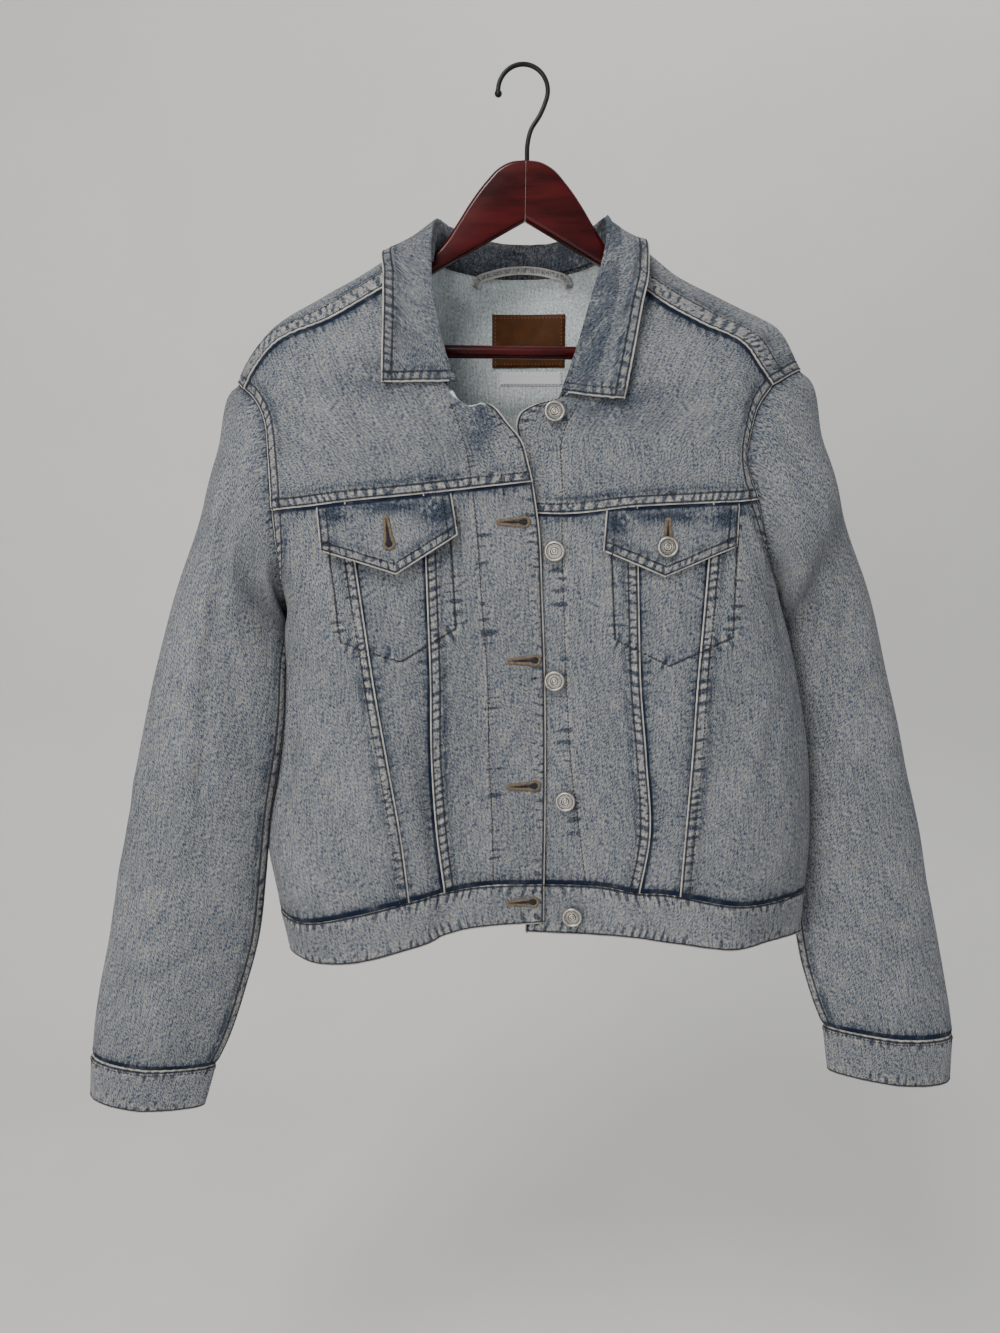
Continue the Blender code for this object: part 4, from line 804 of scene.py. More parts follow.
    def offset_line(self, edge, away):
        """A line on the finished surface at a distance from an edge, with its normals."""
        distance = self.distance(edge)
        points, normals = self.points, self.normals
        if edge in ("top", "bottom"):
            distance = distance.T
            points, normals = points.swapaxes(0, 1), normals.swapaxes(0, 1)
        if edge in ("right", "bottom"):
            distance, points, normals = distance[::-1], points[::-1], normals[::-1]
        columns = np.arange(distance.shape[1])
        upper = np.clip((distance < away).sum(axis=0), 1, distance.shape[0] - 1)
        low, high = distance[upper - 1, columns], distance[upper, columns]
        share = np.clip((away - low) / np.maximum(high - low, 1e-6), 0, 1)[:, None]
        line = points[upper - 1, columns] * (1 - share) + points[upper, columns] * share
        facing = normals[upper - 1, columns] * (1 - share) + normals[upper, columns] * share
        return line, unit(facing)

    def area(self):
        a = self.points[1:, :-1] - self.points[:-1, :-1]
        b = self.points[:-1, 1:] - self.points[:-1, :-1]
        c = self.points[1:, :-1] - self.points[1:, 1:]
        d = self.points[:-1, 1:] - self.points[1:, 1:]
        return 0.5 * (np.linalg.norm(np.cross(a, b), axis=2).sum()
                      + np.linalg.norm(np.cross(c, d), axis=2).sum()) * MM * MM

    def cut(self):
        """The cut's greatest width and length, in metres."""
        return (round(float(self.left[-1].max()) * MM, 3),
                round(float(self.top[:, -1].max()) * MM, 3))


def grid_faces(rows, columns, flip=False):
    i, j = np.meshgrid(np.arange(rows - 1), np.arange(columns - 1), indexing="ij")
    a = (i * columns + j).ravel()
    quads = np.column_stack([a, a + columns, a + columns + 1, a + 1])
    return quads[:, ::-1] if flip else quads


def mesh_of(name, points, faces):
    mesh = bpy.data.meshes.new(name)
    mesh.from_pydata((points.reshape(-1, 3) * MM).tolist(), [], faces.tolist())
    mesh.shade_smooth()
    return mesh


def add_attribute(mesh, name, values):
    layer = mesh.attributes.new(name, "FLOAT", "POINT")
    layer.data.foreach_set("value", np.asarray(values, np.float32).ravel())


def cloth_object(shell, thick, finishes):
    """The shell as a mesh with its wall, its weave's UV map and its attributes for wear and painted
    shade.
    """
    faces = grid_faces(*shell.points.shape[:2])
    middle = (shell.points.shape[0] // 2, shell.points.shape[1] // 2)
    corner = np.cross(shell.points[middle[0] + 1, middle[1]] - shell.points[middle],
                      shell.points[middle[0], middle[1] + 1] - shell.points[middle])
    if corner @ shell.normals[middle] < 0:
        faces = faces[:, ::-1]
    mesh = mesh_of(shell.name + "_cloth", shell.points, faces)
    for name in ("edge", "shade", "row", "pucker", "band", "dye"):
        add_attribute(mesh, name, getattr(shell, name))
    weave = mesh.uv_layers.new(name="weave")
    flat = np.stack([shell.left - shell.left[-1:] / 2, -shell.down], axis=-1).reshape(-1, 2)
    corners = np.empty(len(mesh.loops), np.int64)
    mesh.loops.foreach_get("vertex_index", corners)
    weave.data.foreach_set("uv", (flat[corners] * MM * 10).astype(np.float32).ravel())
    if shell.ring:
        joined = bmesh.new()
        joined.from_mesh(mesh)
        bmesh.ops.remove_doubles(joined, verts=joined.verts, dist=0.01 * MM)
        joined.to_mesh(mesh)
        joined.free()
    made = bpy.data.objects.new(mesh.name, mesh)
    bpy.context.scene.collection.objects.link(made)
    for finish in finishes:
        made.data.materials.append(finish)
    wall = made.modifiers.new("cloth thickness", "SOLIDIFY")
    wall.thickness = thick * MM
    wall.offset = -1
    wall.use_even_offset = False
    wall.material_offset = len(finishes) - 1
    return made


def stations(low, high, count, near=(0.12, 0.3, 0.6, 1.0, 1.5)):
    """Even positions from low to high, with more of them beside both ends."""
    step = (high - low) / count
    close = np.array(near) * step * 0.6
    every = np.concatenate([np.linspace(low, high, count + 1)[2:-2], [low, high],
                            low + close, high - close])
    return np.unique(np.round(every, 9))


SHELLS = {}
PIECES = {}
# How far a panel runs beneath its neighbour, as s and as t.
S_RUN, T_RUN = 0.0105, 0.009


def add_shell(name, cloth, s, t, finish, ripple=0.7, thick=DENIM, placket=None, pocket=None):
    """A panel of the cloth read at s and t, with its edges finished and its creases laid."""
    shell = Shell(name, cloth.at(s[:, None], t[None, :]), cloth.outward, s, t)
    shell.finish_edges(finish)
    shell.ripple(ripple, 42)
    if placket is not None:
        shell.placket(placket, cloth.outward)
    if pocket is not None:
        shell.outline(pocket, 1)
    shell.darken_with_patches(DYE_AND_SHADE_PATCHES)
    shell.crease(CREASES)
    shell.settle()
    SHELLS[name] = shell
    PIECES[name] = declare_cloth(shell, thick)
    return shell


def declare_cloth(shell, thick):
    inner = inside_finish() if thick == DENIM else denim_finish()
    made = cloth_object(shell, thick, (denim_finish(), inner))
    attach(made, "root")
    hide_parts(shell.name)
    width, length = shell.cut()
    area = min(shell.area(), width * length)
    return made


def front_lines(side):
    """The placket's stitch line and the pocket's outline, as paths of (x, z)."""
    cloth = FRONTS[side]
    placket = cloth.at(0.85, np.linspace(0.6, 2, 60))[:, [0, 2]]
    bag = BAG_R if side == "r" else BAG_L
    way = [bag.top_out, bag.low_out, bag.point, bag.low_in, bag.top_in]
    return placket, np.array(way if side == "r" else way[::-1], float)


def build_front(side):
    cloth = FRONTS[side]
    placket, pocket = front_lines(side)
    yoke_s = np.unique(np.concatenate([stations(0, 0.5, 55), stations(0.5, 1, 42)]))
    add_shell(f"front_yoke_{side}", cloth, yoke_s, stations(0, 1, 86),
              Finish(PIPED, FOLD, UNDER, LAP), placket=placket)
    down = stations(1 - T_RUN, 2 + T_RUN, 150)
    add_shell(f"front_side_{side}", cloth, stations(0, OUTER_V, 44), down,
              Finish(DOUBLE, LAP, UNDER, UNDER), pocket=pocket)
    add_shell(f"front_middle_{side}", cloth, stations(OUTER_V - S_RUN, INNER_V + S_RUN, 30),
              down, Finish(UNDER, UNDER, UNDER, UNDER), pocket=pocket)
    add_shell(f"front_centre_{side}", cloth, stations(INNER_V, 1, 46), down,
              Finish(LAP, FOLD, UNDER, UNDER), placket=placket, pocket=pocket)
    band_s = np.unique(np.concatenate([stations(0, 0.6, 80), stations(0.6, 1, 50)]))
    add_shell(f"waistband_front_{side}", cloth, band_s, stations(2, 3, 22),
              Finish(PLAIN, FOLD, GATHER, FOLD), 0.35, DOUBLED)


def build_back():
    cloth = BACK_CLOTH
    across = np.unique(np.concatenate([stations(0, NECK_R, 60), stations(NECK_R, NECK_L, 60),
                                       stations(NECK_L, 1, 60)]))
    add_shell("back_yoke", cloth, across, stations(0, 1, 54), Finish(PIPED, PIPED, WIDE, LAP))
    add_shell("back_panel", cloth, stations(0, 1, 132), stations(1 - T_RUN, 2 + T_RUN, 114),
              Finish(LAP, LAP, UNDER, UNDER), 0.9)
    add_shell("waistband_back", cloth, stations(0, 1, 160), stations(2, 3, 22),
              Finish(PLAIN, PLAIN, GATHER, FOLD), 0.35, DOUBLED)


def ring_points(ring, angles):
    outer = np.array([ring.outer_x, ring.y, ring.outer_z])
    inner = np.array([ring.inner_x, ring.y, ring.inner_z])
    centre, across = (outer + inner) / 2, (outer - inner) / 2
    narrow = 1 - SLEEVE_NARROWS * np.maximum(0, -np.cos(angles))
    return (centre + np.cos(angles)[:, None] * across
            - (np.sin(angles) * narrow)[:, None] * np.array([0, ring.depth, 0]))


def spaced(line, step):
    """Parameters of points about a step apart along a finely sampled line, ends kept."""
    run = np.concatenate([[0], np.cumsum(np.linalg.norm(np.diff(line, axis=0), axis=1))])
    count = max(2, int(round(run[-1] / step)))
    at = np.interp(np.linspace(0, run[-1], count + 1), run, np.linspace(0, 1, len(run)))
    close = np.interp([0.7, 1.6, 3.2, 5], run, np.linspace(0, 1, len(run)))
    return np.unique(np.round(np.concatenate([at, close, 1 - close]), 9))


def armhole_run(side, low, high, step=3.1):
    """Points round an armhole for t from low to high, negative t for the back's, with the
    unit vectors into the body and out of its cloth."""
    at = 0.0 if side == "r" else 1.0
    fine = np.linspace(low, high, 300)

    def line(u):
        front = FRONTS[side].at(0.0, np.clip(u, 0, UNDERARM))
        back = BACK_CLOTH.at(at, np.clip(-u, 0, UNDERARM))
        wrapped = np.where(u > UNDERARM, 2 * UNDERARM - u, -u)
        back_low = BACK_CLOTH.at(at, np.clip(wrapped, 0, UNDERARM))
        found = np.where((u >= 0)[:, None], front, back)
        return np.where((u > UNDERARM)[:, None], back_low, found)

    u = low + (high - low) * spaced(line(fine), step)
    step_in = 0.02
    front_in = FRONTS[side].at(step_in, np.clip(u, 0, UNDERARM))
    back_in = BACK_CLOTH.at(at + (step_in if side == "r" else -step_in),
                            np.clip(np.where(u > UNDERARM, 2 * UNDERARM - u, -u), 0, UNDERARM))
    points = line(u)
    is_front = ((u >= 0) & (u <= UNDERARM))[:, None]
    into = unit(np.where(is_front, front_in, back_in) - points)
    front_out = FRONTS[side].normal(0.01, np.clip(u, 0, UNDERARM))
    back_out = BACK_CLOTH.normal(abs(at - 0.01),
                                 np.clip(np.where(u > UNDERARM, 2 * UNDERARM - u, -u),
                                         0, UNDERARM))
    return u, points, into, np.where(is_front, front_out, back_out)


# Where each side of the right sleeve leans towards the body: height, reach and amount.
INNER_LEAN, OUTER_LEAN = (-520, 85, 7), (-655, 150, 4.2)
# The sleeve's top and its back seam on the armhole, as t, negative on the back.
SLEEVE_TOP, SLEEVE_SEAM = -0.2, -0.7
# How deep under the armhole's edge the sleeve's hidden end and its fold lie.
TUCK_DEPTH, FOLD_DEPTH = 1.5, 1.1


def build_sleeve(side):
    """The two halves of a sleeve, round from the back seam over the front to the underarm."""
    way = 1 if side == "r" else -1
    table = SLEEVE_R if side == "r" else SLEEVE_L
    end = 2 * UNDERARM + SLEEVE_SEAM
    u, loop, into, out = armhole_run(side, SLEEVE_SEAM, end)
    run = np.concatenate([[0], np.cumsum(np.linalg.norm(np.diff(loop, axis=0), axis=1))])
    at_top, at_under = np.interp([SLEEVE_TOP, UNDERARM], u, run)
    angles = np.interp(run, [at_top - run[-1] + at_under, at_top, at_under, at_top + run[-1]],
                       [-math.pi, 0, math.pi, 2 * math.pi])
    rings = [ring_points(ring, angles) for ring in table]
    step_out = 0.88 * loop + 0.12 * rings[0] - np.array([way * ARMHOLE_STEP, 0, 0])
    tuck = loop + UNDER_RUN * into - TUCK_DEPTH * out
    under = loop - FOLD_DEPTH * out
    rings = [tuck, under, step_out] + rings
    knots = np.concatenate([[-0.1, 0, 0.25], np.arange(1, len(table) + 1)])
    upper, lower = stations(0, 4, 56), np.linspace(4, len(table), 104)[1:]
    rows = np.concatenate([[-0.1, -0.05], upper, lower])
    rows = np.unique(np.concatenate([rows, len(table) - np.array([0.02, 0.05, 0.09])]))
    grid = np.moveaxis(spline(knots, np.array(rings), rows), 0, 1)
    if side == "r":
        inward = (grid[..., 0] - grid[..., 0].mean(axis=0)) / np.ptp(grid[..., 0], axis=0) * 2
        for sign, (height, reach, amount) in ((1, INNER_LEAN), (-1, OUTER_LEAN)):
            low = np.exp(-((grid[..., 2] - height) / reach) ** 2)
            grid[..., 0] += amount * np.clip(sign * inward, 0, 1) * low
    split = int(np.argmin(np.abs(u - UNDERARM)))
    for name, part in (("front", grid[: split + 1]), ("back", grid[split:])):
        shell = Shell(f"sleeve_{name}_{side}", part, -way)
        length = unit(part[:, -1].mean(axis=0) - part[:, 0].mean(axis=0))
        shell.down = part @ length
        shell.relief += DENIM * smooth_step(shell.top, UNDER_RUN, 25)
        kinds = Finish(LAP, PIPED, UNDER, UNDER) if name == "front" else Finish(
            PLAIN, PLAIN, UNDER, UNDER)
        shell.finish_edges(kinds)
        shell.ripple(0.9, 46)
        shell.crease(CREASES)
        shell.settle()
        SHELLS[shell.name] = shell
        PIECES[shell.name] = declare_cloth(shell, DENIM)
    cuff_table = CUFF_R if side == "r" else CUFF_L
    turn = np.linspace(0, 2 * math.pi, 105)
    cuff = np.array([ring_points(ring, turn) for ring in cuff_table])
    cuff = np.moveaxis(spline((0, 1), cuff, stations(0, 1, 22)), 0, 1)
    shell = Shell(f"cuff_{side}", cuff, -way, ring=True)
    shell.relief += CUFF_STANDS
    shell.finish_edges(Finish(PLAIN, PLAIN, GATHER, FOLD))
    shell.crease(CREASES)
    shell.settle()
    SHELLS[shell.name] = shell
    PIECES[shell.name] = declare_cloth(shell, DOUBLED)


def neckline(count):
    """Points round the neck where the collar stands, with the way into the opening."""
    fronts = []
    for side, end in (("r", COLLAR_END_R), ("l", COLLAR_END_L)):
        t = np.linspace(end, 0, count)
        points = FRONTS[side].at(1.0, t)
        fronts.append((points, unit(points - FRONTS[side].at(0.97, t))))
    turn = np.linspace(0, math.pi, 2 * count)[1:-1]
    s = NECK_R + (NECK_L - NECK_R) * (0.5 - 0.5 * np.cos(turn))
    points = BACK_CLOTH.at(s, 0.0)
    back = points, unit(points - BACK_CLOTH.at(s, 0.05))
    (right, right_in), (left, left_in) = fronts
    return (np.concatenate([right, back[0], left[::-1]]),
            np.concatenate([right_in, back[1], left_in[::-1]]))


def lifted_off(points, clear, sides):
    """The points, moved out to stand at least clear of the cloth that lies under them."""
    under, normals = [], []
    for cloth, high_t in sides:
        s, t = np.meshgrid(np.linspace(0, 1, 150), np.linspace(0, high_t, 90), indexing="ij")
        under.append(cloth.at(s, t).reshape(-1, 3))
        normals.append(cloth.normal(s, t).reshape(-1, 3))
    under, normals = np.concatenate(under), np.concatenate(normals)
    found = points.copy()
    for index in np.ndindex(points.shape[:1]):
        away = points[index][:, None] - under[None]
        nearest = np.argmin((away ** 2).sum(axis=2), axis=1)
        close = away[np.arange(len(nearest)), nearest]
        height = (close * normals[nearest]).sum(axis=1)
        aside = (close ** 2).sum(axis=1) - height ** 2
        short = np.where((aside < 9) & (height < clear), clear - height, 0)
        found[index] += normals[nearest] * short[:, None]
    return found


def build_collar():
    fine, inward = neckline(60)
    run = np.concatenate([[0], np.cumsum(np.linalg.norm(np.diff(fine, axis=0), axis=1))])
    at = stations(0, 1, 172)
    seam = np.column_stack([np.interp(at, run / run[-1], fine[:, k]) for k in range(3)])
    inward = unit(np.column_stack([np.interp(at, run / run[-1], inward[:, k])
                                   for k in range(3)]))
    known = [row.at for row in COLLAR]
    apex = spline(known, np.array([row.apex for row in COLLAR]), at)
    edge = spline(known, np.array([row.edge for row in COLLAR]), at)
    rise, fall = unit(apex - seam), unit(edge - apex)
    below = unit(fall - (fall * rise).sum(axis=1, keepdims=True) * rise)
    lean = np.maximum(0, -(below * inward).sum(axis=1, keepdims=True))
    gap = COLLAR_GAP + COLLAR_END_GAP * np.abs(2 * at[:, None] - 1) ** 2
    base = (seam + (gap + COLLAR_WALL * lean) * inward
            - 0.7 * COLLAR_WALL * (1 - lean) * below)
    belly = unit(np.cross(fall, unit(np.gradient(apex, at, axis=0))))
    shares = stations(0, 1, 50)
    lines, leaf = [], []
    for b, a, e, w, d, out in zip(base, apex, edge, rise, fall, belly):
        stand = np.linalg.norm(a - b)
        path = [b, b + (a - b) * 0.5, a - w * min(4.5, stand * 0.3), a, a + d * 4.5,
                a + (e - a) * 0.45 + out * 1.5, e]
        lengths = np.linalg.norm(np.diff(path, axis=0), axis=1)
        leaf.append((lengths[:4].sum()) / lengths.sum())
        lines.append(along(path, shares))
    outer = np.array(lines)
    lifted = lifted_off(outer, COLLAR_WALL + COLLAR_LIES,
                        ((FRONTS["r"], 0.8), (FRONTS["l"], 0.8), (BACK_CLOTH, 1.0)))
    on_leaf = smooth_step(shares[None, :], np.array(leaf)[:, None] - 0.03,
                          np.array(leaf)[:, None] + 0.03)[..., None]
    outer = outer * (1 - on_leaf) + lifted * on_leaf
    shell = Shell("collar", outer, 1)
    if shell.normals[len(at) // 2, 1, 1] > 0:
        shell = Shell("collar", outer, -1)
    shell.finish_edges(Finish(DOUBLE, DOUBLE, PLAIN, DOUBLE))
    shell.dye = np.maximum(shell.dye, 0.34 + 0.35 * (shell.top < 34))
    shell.edge = np.where(on_leaf[..., 0] > 0.5, shell.edge, FAR)
    shell.pucker *= on_leaf[..., 0]
    shell.ripple(0.5, 40)
    shell.settle()
    SHELLS["collar"] = shell
    PIECES["collar"] = declare_cloth(shell, COLLAR_WALL)


def pentagon(corners, columns, rows):
    """x and z over a pointed pocket or flap, from its top edge down to its V."""
    u, v = stations(0, 1, columns), stations(0, 1, rows)[None, :, None]
    top = np.array(corners.top_out) + u[:, None] * np.subtract(corners.top_in, corners.top_out)
    low = np.column_stack([
        np.interp(u, (0, 0.5, 1), [c[i] for c in (corners.low_out, corners.point,
                                                  corners.low_in)]) for i in (0, 1)])
    grid = top[:, None] * (1 - v) + low[:, None] * v
    return grid[..., 0], grid[..., 1], v


def build_pockets():
    for side, flap, bag in (("r", FLAP_R, BAG_R), ("l", FLAP_L, BAG_L)):
        cloth = FRONTS[side]
        for name, corners, columns, rows, thick in (
                ("flap", flap, 44, 26, FLAP_WALL), ("bag", bag, 30, 20, BAG_WALL)):
            x, z, v = pentagon(corners, columns, rows)
            s, t = cloth.find(x, z, 0.5, 1.1)
            points, normals = cloth.at(s, t), cloth.normal(s, t)
            lift = LAY_GAP + FLAP_LIFT[side] * v + FLAP_WALL + 0.6
            if name == "bag":
                lift = -DENIM - BAG_GAP
            way = 1 if side == "l" else -1
            shell = Shell(f"pocket_{name}_{side}", points + normals * lift, way)
            if (shell.normals * normals).sum() < 0:
                shell = Shell(shell.name, shell.base, -way)
            if name == "flap":
                shell.finish_edges(Finish(DOUBLE, DOUBLE, TUCKED, DOUBLE))
                shell.dye = np.maximum(shell.dye, 0.16)
                shell.darken_with_patches(DYE_AND_SHADE_PATCHES)
                shell.crease(CREASES)
            shell.settle()
            SHELLS[shell.name] = shell
            PIECES[shell.name] = declare_cloth(shell, thick)


def new_group(name, kind, inputs, outputs):
    """An empty node group with its named sockets, its input node and its output node."""
    tree = bpy.data.node_groups.new(name, kind)
    for label, socket, default in inputs:
        made = tree.interface.new_socket(label, in_out="INPUT", socket_type=socket)
        if default is not None:
            made.default_value = default
    for label, socket in outputs:
        tree.interface.new_socket(label, in_out="OUTPUT", socket_type=socket)
    return tree, tree.nodes.new("NodeGroupInput"), tree.nodes.new("NodeGroupOutput")


class Wiring:
    """Adds nodes to a tree; an input that is a socket is linked, and any other is set."""

    def __init__(self, tree):
        self.tree = tree

    def node(self, kind, inputs=None, **settings):
        made = self.tree.nodes.new(kind)
        for name, value in settings.items():
            setattr(made, name, value)
        for name, value in (inputs or {}).items():
            self.feed(made.inputs[name], value)
        return made

    def feed(self, socket, value):
        if isinstance(value, bpy.types.NodeSocket):
            self.tree.links.new(value, socket)
        else:
            socket.default_value = value

    def math(self, operation, *values, clamp=False):
        made = self.node("ShaderNodeMath", operation=operation, use_clamp=clamp)
        for socket, value in zip(made.inputs, values):
            self.feed(socket, value)
        return made.outputs[0]

    def noise(self, vector, scale, detail=2.0, roughness=0.5):
        made = self.node("ShaderNodeTexNoise", {"Vector": vector, "Scale": scale,
                                                "Detail": detail, "Roughness": roughness})
        return made.outputs["Fac"]

    def ramp(self, value, low, high, to_low=0.0, to_high=1.0):
        made = self.node("ShaderNodeMapRange", {"Value": value, "From Min": low,
                                                "From Max": high, "To Min": to_low,
                                                "To Max": to_high},
                         interpolation_type="SMOOTHSTEP")
        return made.outputs["Result"]

    def mix(self, share, first, second):
        made = self.node("ShaderNodeMix", data_type="RGBA")
        for socket, value in ((made.inputs["Factor"], share), (made.inputs[6], first),
                              (made.inputs[7], second)):
            self.feed(socket, value)
        return made.outputs[2]

    def stretched(self, vector, scale):
        made = self.node("ShaderNodeVectorMath", {0: vector, 1: scale}, operation="MULTIPLY")
        return made.outputs[0]

    def attribute(self, name):
        return self.node("ShaderNodeAttribute", attribute_name=name).outputs["Fac"]


def weave_group():
    """Threads, slubs and faded patches of washed denim, from the cloth's own UV map."""
    old = bpy.data.node_groups.get("Denim weave")
    if old:
        return old
    tree, start, end = new_group(
        "Denim weave", "ShaderNodeTree",
        (("Vector", "NodeSocketVector", None), ("Grain", "NodeSocketFloat", 1.0)),
        (("Thread", "NodeSocketFloat"), ("Fade", "NodeSocketFloat"),
         ("Height", "NodeSocketFloat")))
    w = Wiring(tree)
    vector = start.outputs["Vector"]
    parts = w.node("ShaderNodeSeparateXYZ", {0: vector})
    across = w.math("ADD", w.math("MULTIPLY", parts.outputs[0], 0.87),
                    w.math("MULTIPLY", parts.outputs[1], 0.5))
    along_it = w.math("SUBTRACT", w.math("MULTIPLY", parts.outputs[0], 0.5),
                      w.math("MULTIPLY", parts.outputs[1], 0.87))
    slant = w.node("ShaderNodeCombineXYZ", {0: across, 1: along_it}).outputs[0]
    dashes = w.noise(w.stretched(slant, (112, 36, 1)), 1.0, 1.0, 0.5)
    salt = w.noise(w.stretched(vector, (120, 120, 1)), 1.0, 1.0, 0.5)
    slub = w.noise(w.stretched(vector, (60, 6, 1)), 1.0, 2.0, 0.5)
    total = w.math("ADD", w.math("MULTIPLY", dashes, 0.5), w.math("MULTIPLY", salt, 0.3))
    total = w.math("ADD", total, w.math("MULTIPLY", slub, 0.2))
    grain = w.math("MULTIPLY", w.math("SUBTRACT", total, 0.5),
                   w.math("MULTIPLY", start.outputs["Grain"], 5.6))
    w.feed(end.inputs["Thread"], w.math("ADD", grain, 0.5, clamp=True))
    near = w.noise(w.stretched(vector, (10, 3.6, 1)), 1.0, 4.0, 0.6)
    far = w.noise(w.stretched(vector, (2.2, 1.1, 1)), 1.0, 2.0)
    fade = w.math("ADD", w.math("MULTIPLY", near, 0.5), w.math("MULTIPLY", far, 0.5))
    w.feed(end.inputs["Fade"], w.ramp(fade, 0.4, 0.66))
    w.feed(end.inputs["Height"], total)
    return tree


def wear_and_shade_group():
    """Where washing wore the indigo off ridges and edges, where it stayed beside them, and where
    shade is painted: the gutter beside an edge that runs under a lap, and the stitch rows.
    """
    old = bpy.data.node_groups.get("Seam wear")
    if old:
        return old
    tree, start, end = new_group(
        "Seam wear", "ShaderNodeTree",
        (("Vector", "NodeSocketVector", None),)
        + tuple((name, "NodeSocketFloat", default) for name, default in (
            ("Edge", 60.0), ("Shade", 60.0), ("Row", 60.0), ("Pucker", 0.0), ("Band", 0.0),
            ("Dye", 0.0))),
        (("Piping", "NodeSocketFloat"), ("Worn", "NodeSocketFloat"),
         ("Blue", "NodeSocketFloat"), ("Dark", "NodeSocketFloat")))
    w = Wiring(tree)
    near = {name: start.outputs[name] for name in ("Edge", "Shade", "Row", "Pucker", "Band",
                                                   "Dye")}
    spots = w.noise(w.stretched(start.outputs["Vector"], (30, 24, 1)), 1.0, 3.0, 0.6)
    wander = w.noise(start.outputs["Vector"], 5.5, 2.0, 0.5)
    rough = w.math("SUBTRACT", spots, 0.5)
    piping = w.math("MULTIPLY", w.ramp(near["Edge"], 1.5, 0.5),
                    w.ramp(wander, 0.3, 0.6, 0.45, 1.0))
    w.feed(end.inputs["Piping"], piping)
    strong = w.math("MULTIPLY", near["Pucker"], w.ramp(wander, 0.34, 0.6, 0.5, 2.0))
    where = w.math("MULTIPLY", w.math("ABSOLUTE", near["Pucker"]), 3.0, clamp=True)
    wave = w.math("ADD", strong, w.math("MULTIPLY", w.math("MULTIPLY", rough, 1.7), where))
    high = w.ramp(wave, 0.2, 0.9)
    worn = w.math("MAXIMUM", w.math("MULTIPLY", near["Band"], w.ramp(spots, 0.35, 0.62, 0.0, 0.5)),
                  w.math("MULTIPLY", high, 0.8))
    w.feed(end.inputs["Worn"], worn)
    left = w.math("MULTIPLY", near["Dye"], w.ramp(w.math("ADD", spots, w.math(
        "MULTIPLY", w.math("SUBTRACT", wander, 0.5), 0.8)), 0.22, 0.58, 0.0, 1.25))
    low = w.ramp(wave, 0.0, -0.36)
    w.feed(end.inputs["Blue"], w.math("MAXIMUM", left, w.math("MULTIPLY", low, 0.95)))
    # Painted shade: darker in the gutter beside an edge that runs under a lap, and along the stitch
    # rows.
    gutter_shade = w.math("MULTIPLY", w.ramp(near["Shade"], 2.3, 0.6),
                    w.ramp(wander, 0.2, 0.6, 0.6, 1.0))
    seam = w.math("MULTIPLY", w.ramp(near["Row"], 1.5, 0.4), w.ramp(spots, 0.2, 0.6, 0.5, 0.9))
    w.feed(end.inputs["Dark"], w.math("MAXIMUM", gutter_shade, seam))
    return tree


def new_material(name, colour, roughness):
    made = bpy.data.materials.new(name)
    made.use_nodes = True
    made.diffuse_color = (*colour, 1)
    shader = made.node_tree.nodes["Principled BSDF"]
    shader.inputs["Base Color"].default_value = (*colour, 1)
    shader.inputs["Roughness"].default_value = roughness
    return made, Wiring(made.node_tree), shader


def group_node(wiring, tree, inputs):
    made = wiring.node("ShaderNodeGroup", node_tree=tree)
    for name, value in inputs.items():
        wiring.feed(made.inputs[name], value)
    return made


# Shares of a thread's own colour: the light threads' where the cloth is darker, from indigo
# # that stayed and from painted shade, and the dark threads' where the cloth faded and where it
# wore.
DARKENED_SHARE, FADED_SHARE, WORN_SHARE = (0.24, 0.3, 0.4), 1.5, 0.5


def denim_finish():
    found = bpy.data.materials.get("washed denim")
    if found:
        return found
    tints = bpy.context.scene.jacket_colours
    made, w, shader = new_material("washed denim", tints.denim[:], 0.88)
    vector = w.node("ShaderNodeUVMap", uv_map="weave").outputs[0]
    weave = group_node(w, weave_group(), {"Vector": vector})
    wear_and_shade = group_node(w, wear_and_shade_group(), {"Vector": vector, **{
        name.capitalize(): w.attribute(name)
        for name in ("edge", "shade", "row", "pucker", "band", "dye")}})
    thread = weave.outputs["Thread"]
    plain = w.mix(thread, (*tints.indigo, 1), (*tints.denim, 1))
    pale = w.mix(thread, (*[k * FADED_SHARE for k in tints.indigo], 1), (*tints.faded, 1))
    base = w.mix(weave.outputs["Fade"], plain, pale)
    darkened = [k * share for k, share in zip(tints.denim, DARKENED_SHARE)]
    blue = w.mix(thread, (*tints.deep, 1), (*darkened, 1))
    worn = w.mix(thread, (*[k * WORN_SHARE for k in tints.worn], 1), (*tints.worn, 1))
    base = w.mix(w.math("MULTIPLY", wear_and_shade.outputs["Worn"], 0.75), base, worn)
    # Darker, towards deep indigo: indigo left beside seams and in pucker valleys, and painted shade
    # from the table of dark patches.
    base = w.mix(w.math("MULTIPLY", wear_and_shade.outputs["Blue"], 0.9), base, blue)
    # Painted shade: deep indigo in the gutters beside under-edges and along the stitch rows.
    base = w.mix(wear_and_shade.outputs["Dark"], base, (*tints.deep, 1))
    w.feed(shader.inputs["Base Color"],
           w.mix(w.math("MULTIPLY", wear_and_shade.outputs["Piping"], 0.75), base, (*tints.worn, 1)))
    shader.inputs["Sheen Weight"].default_value = 0.04
    shader.inputs["Sheen Roughness"].default_value = 0.5
    shader.inputs["Specular IOR Level"].default_value = 0.1
    bump = w.node("ShaderNodeBump", {"Strength": 0.7, "Distance": 0.0006,
                                     "Height": weave.outputs["Height"]})
    w.feed(shader.inputs["Normal"], bump.outputs[0])
    return made


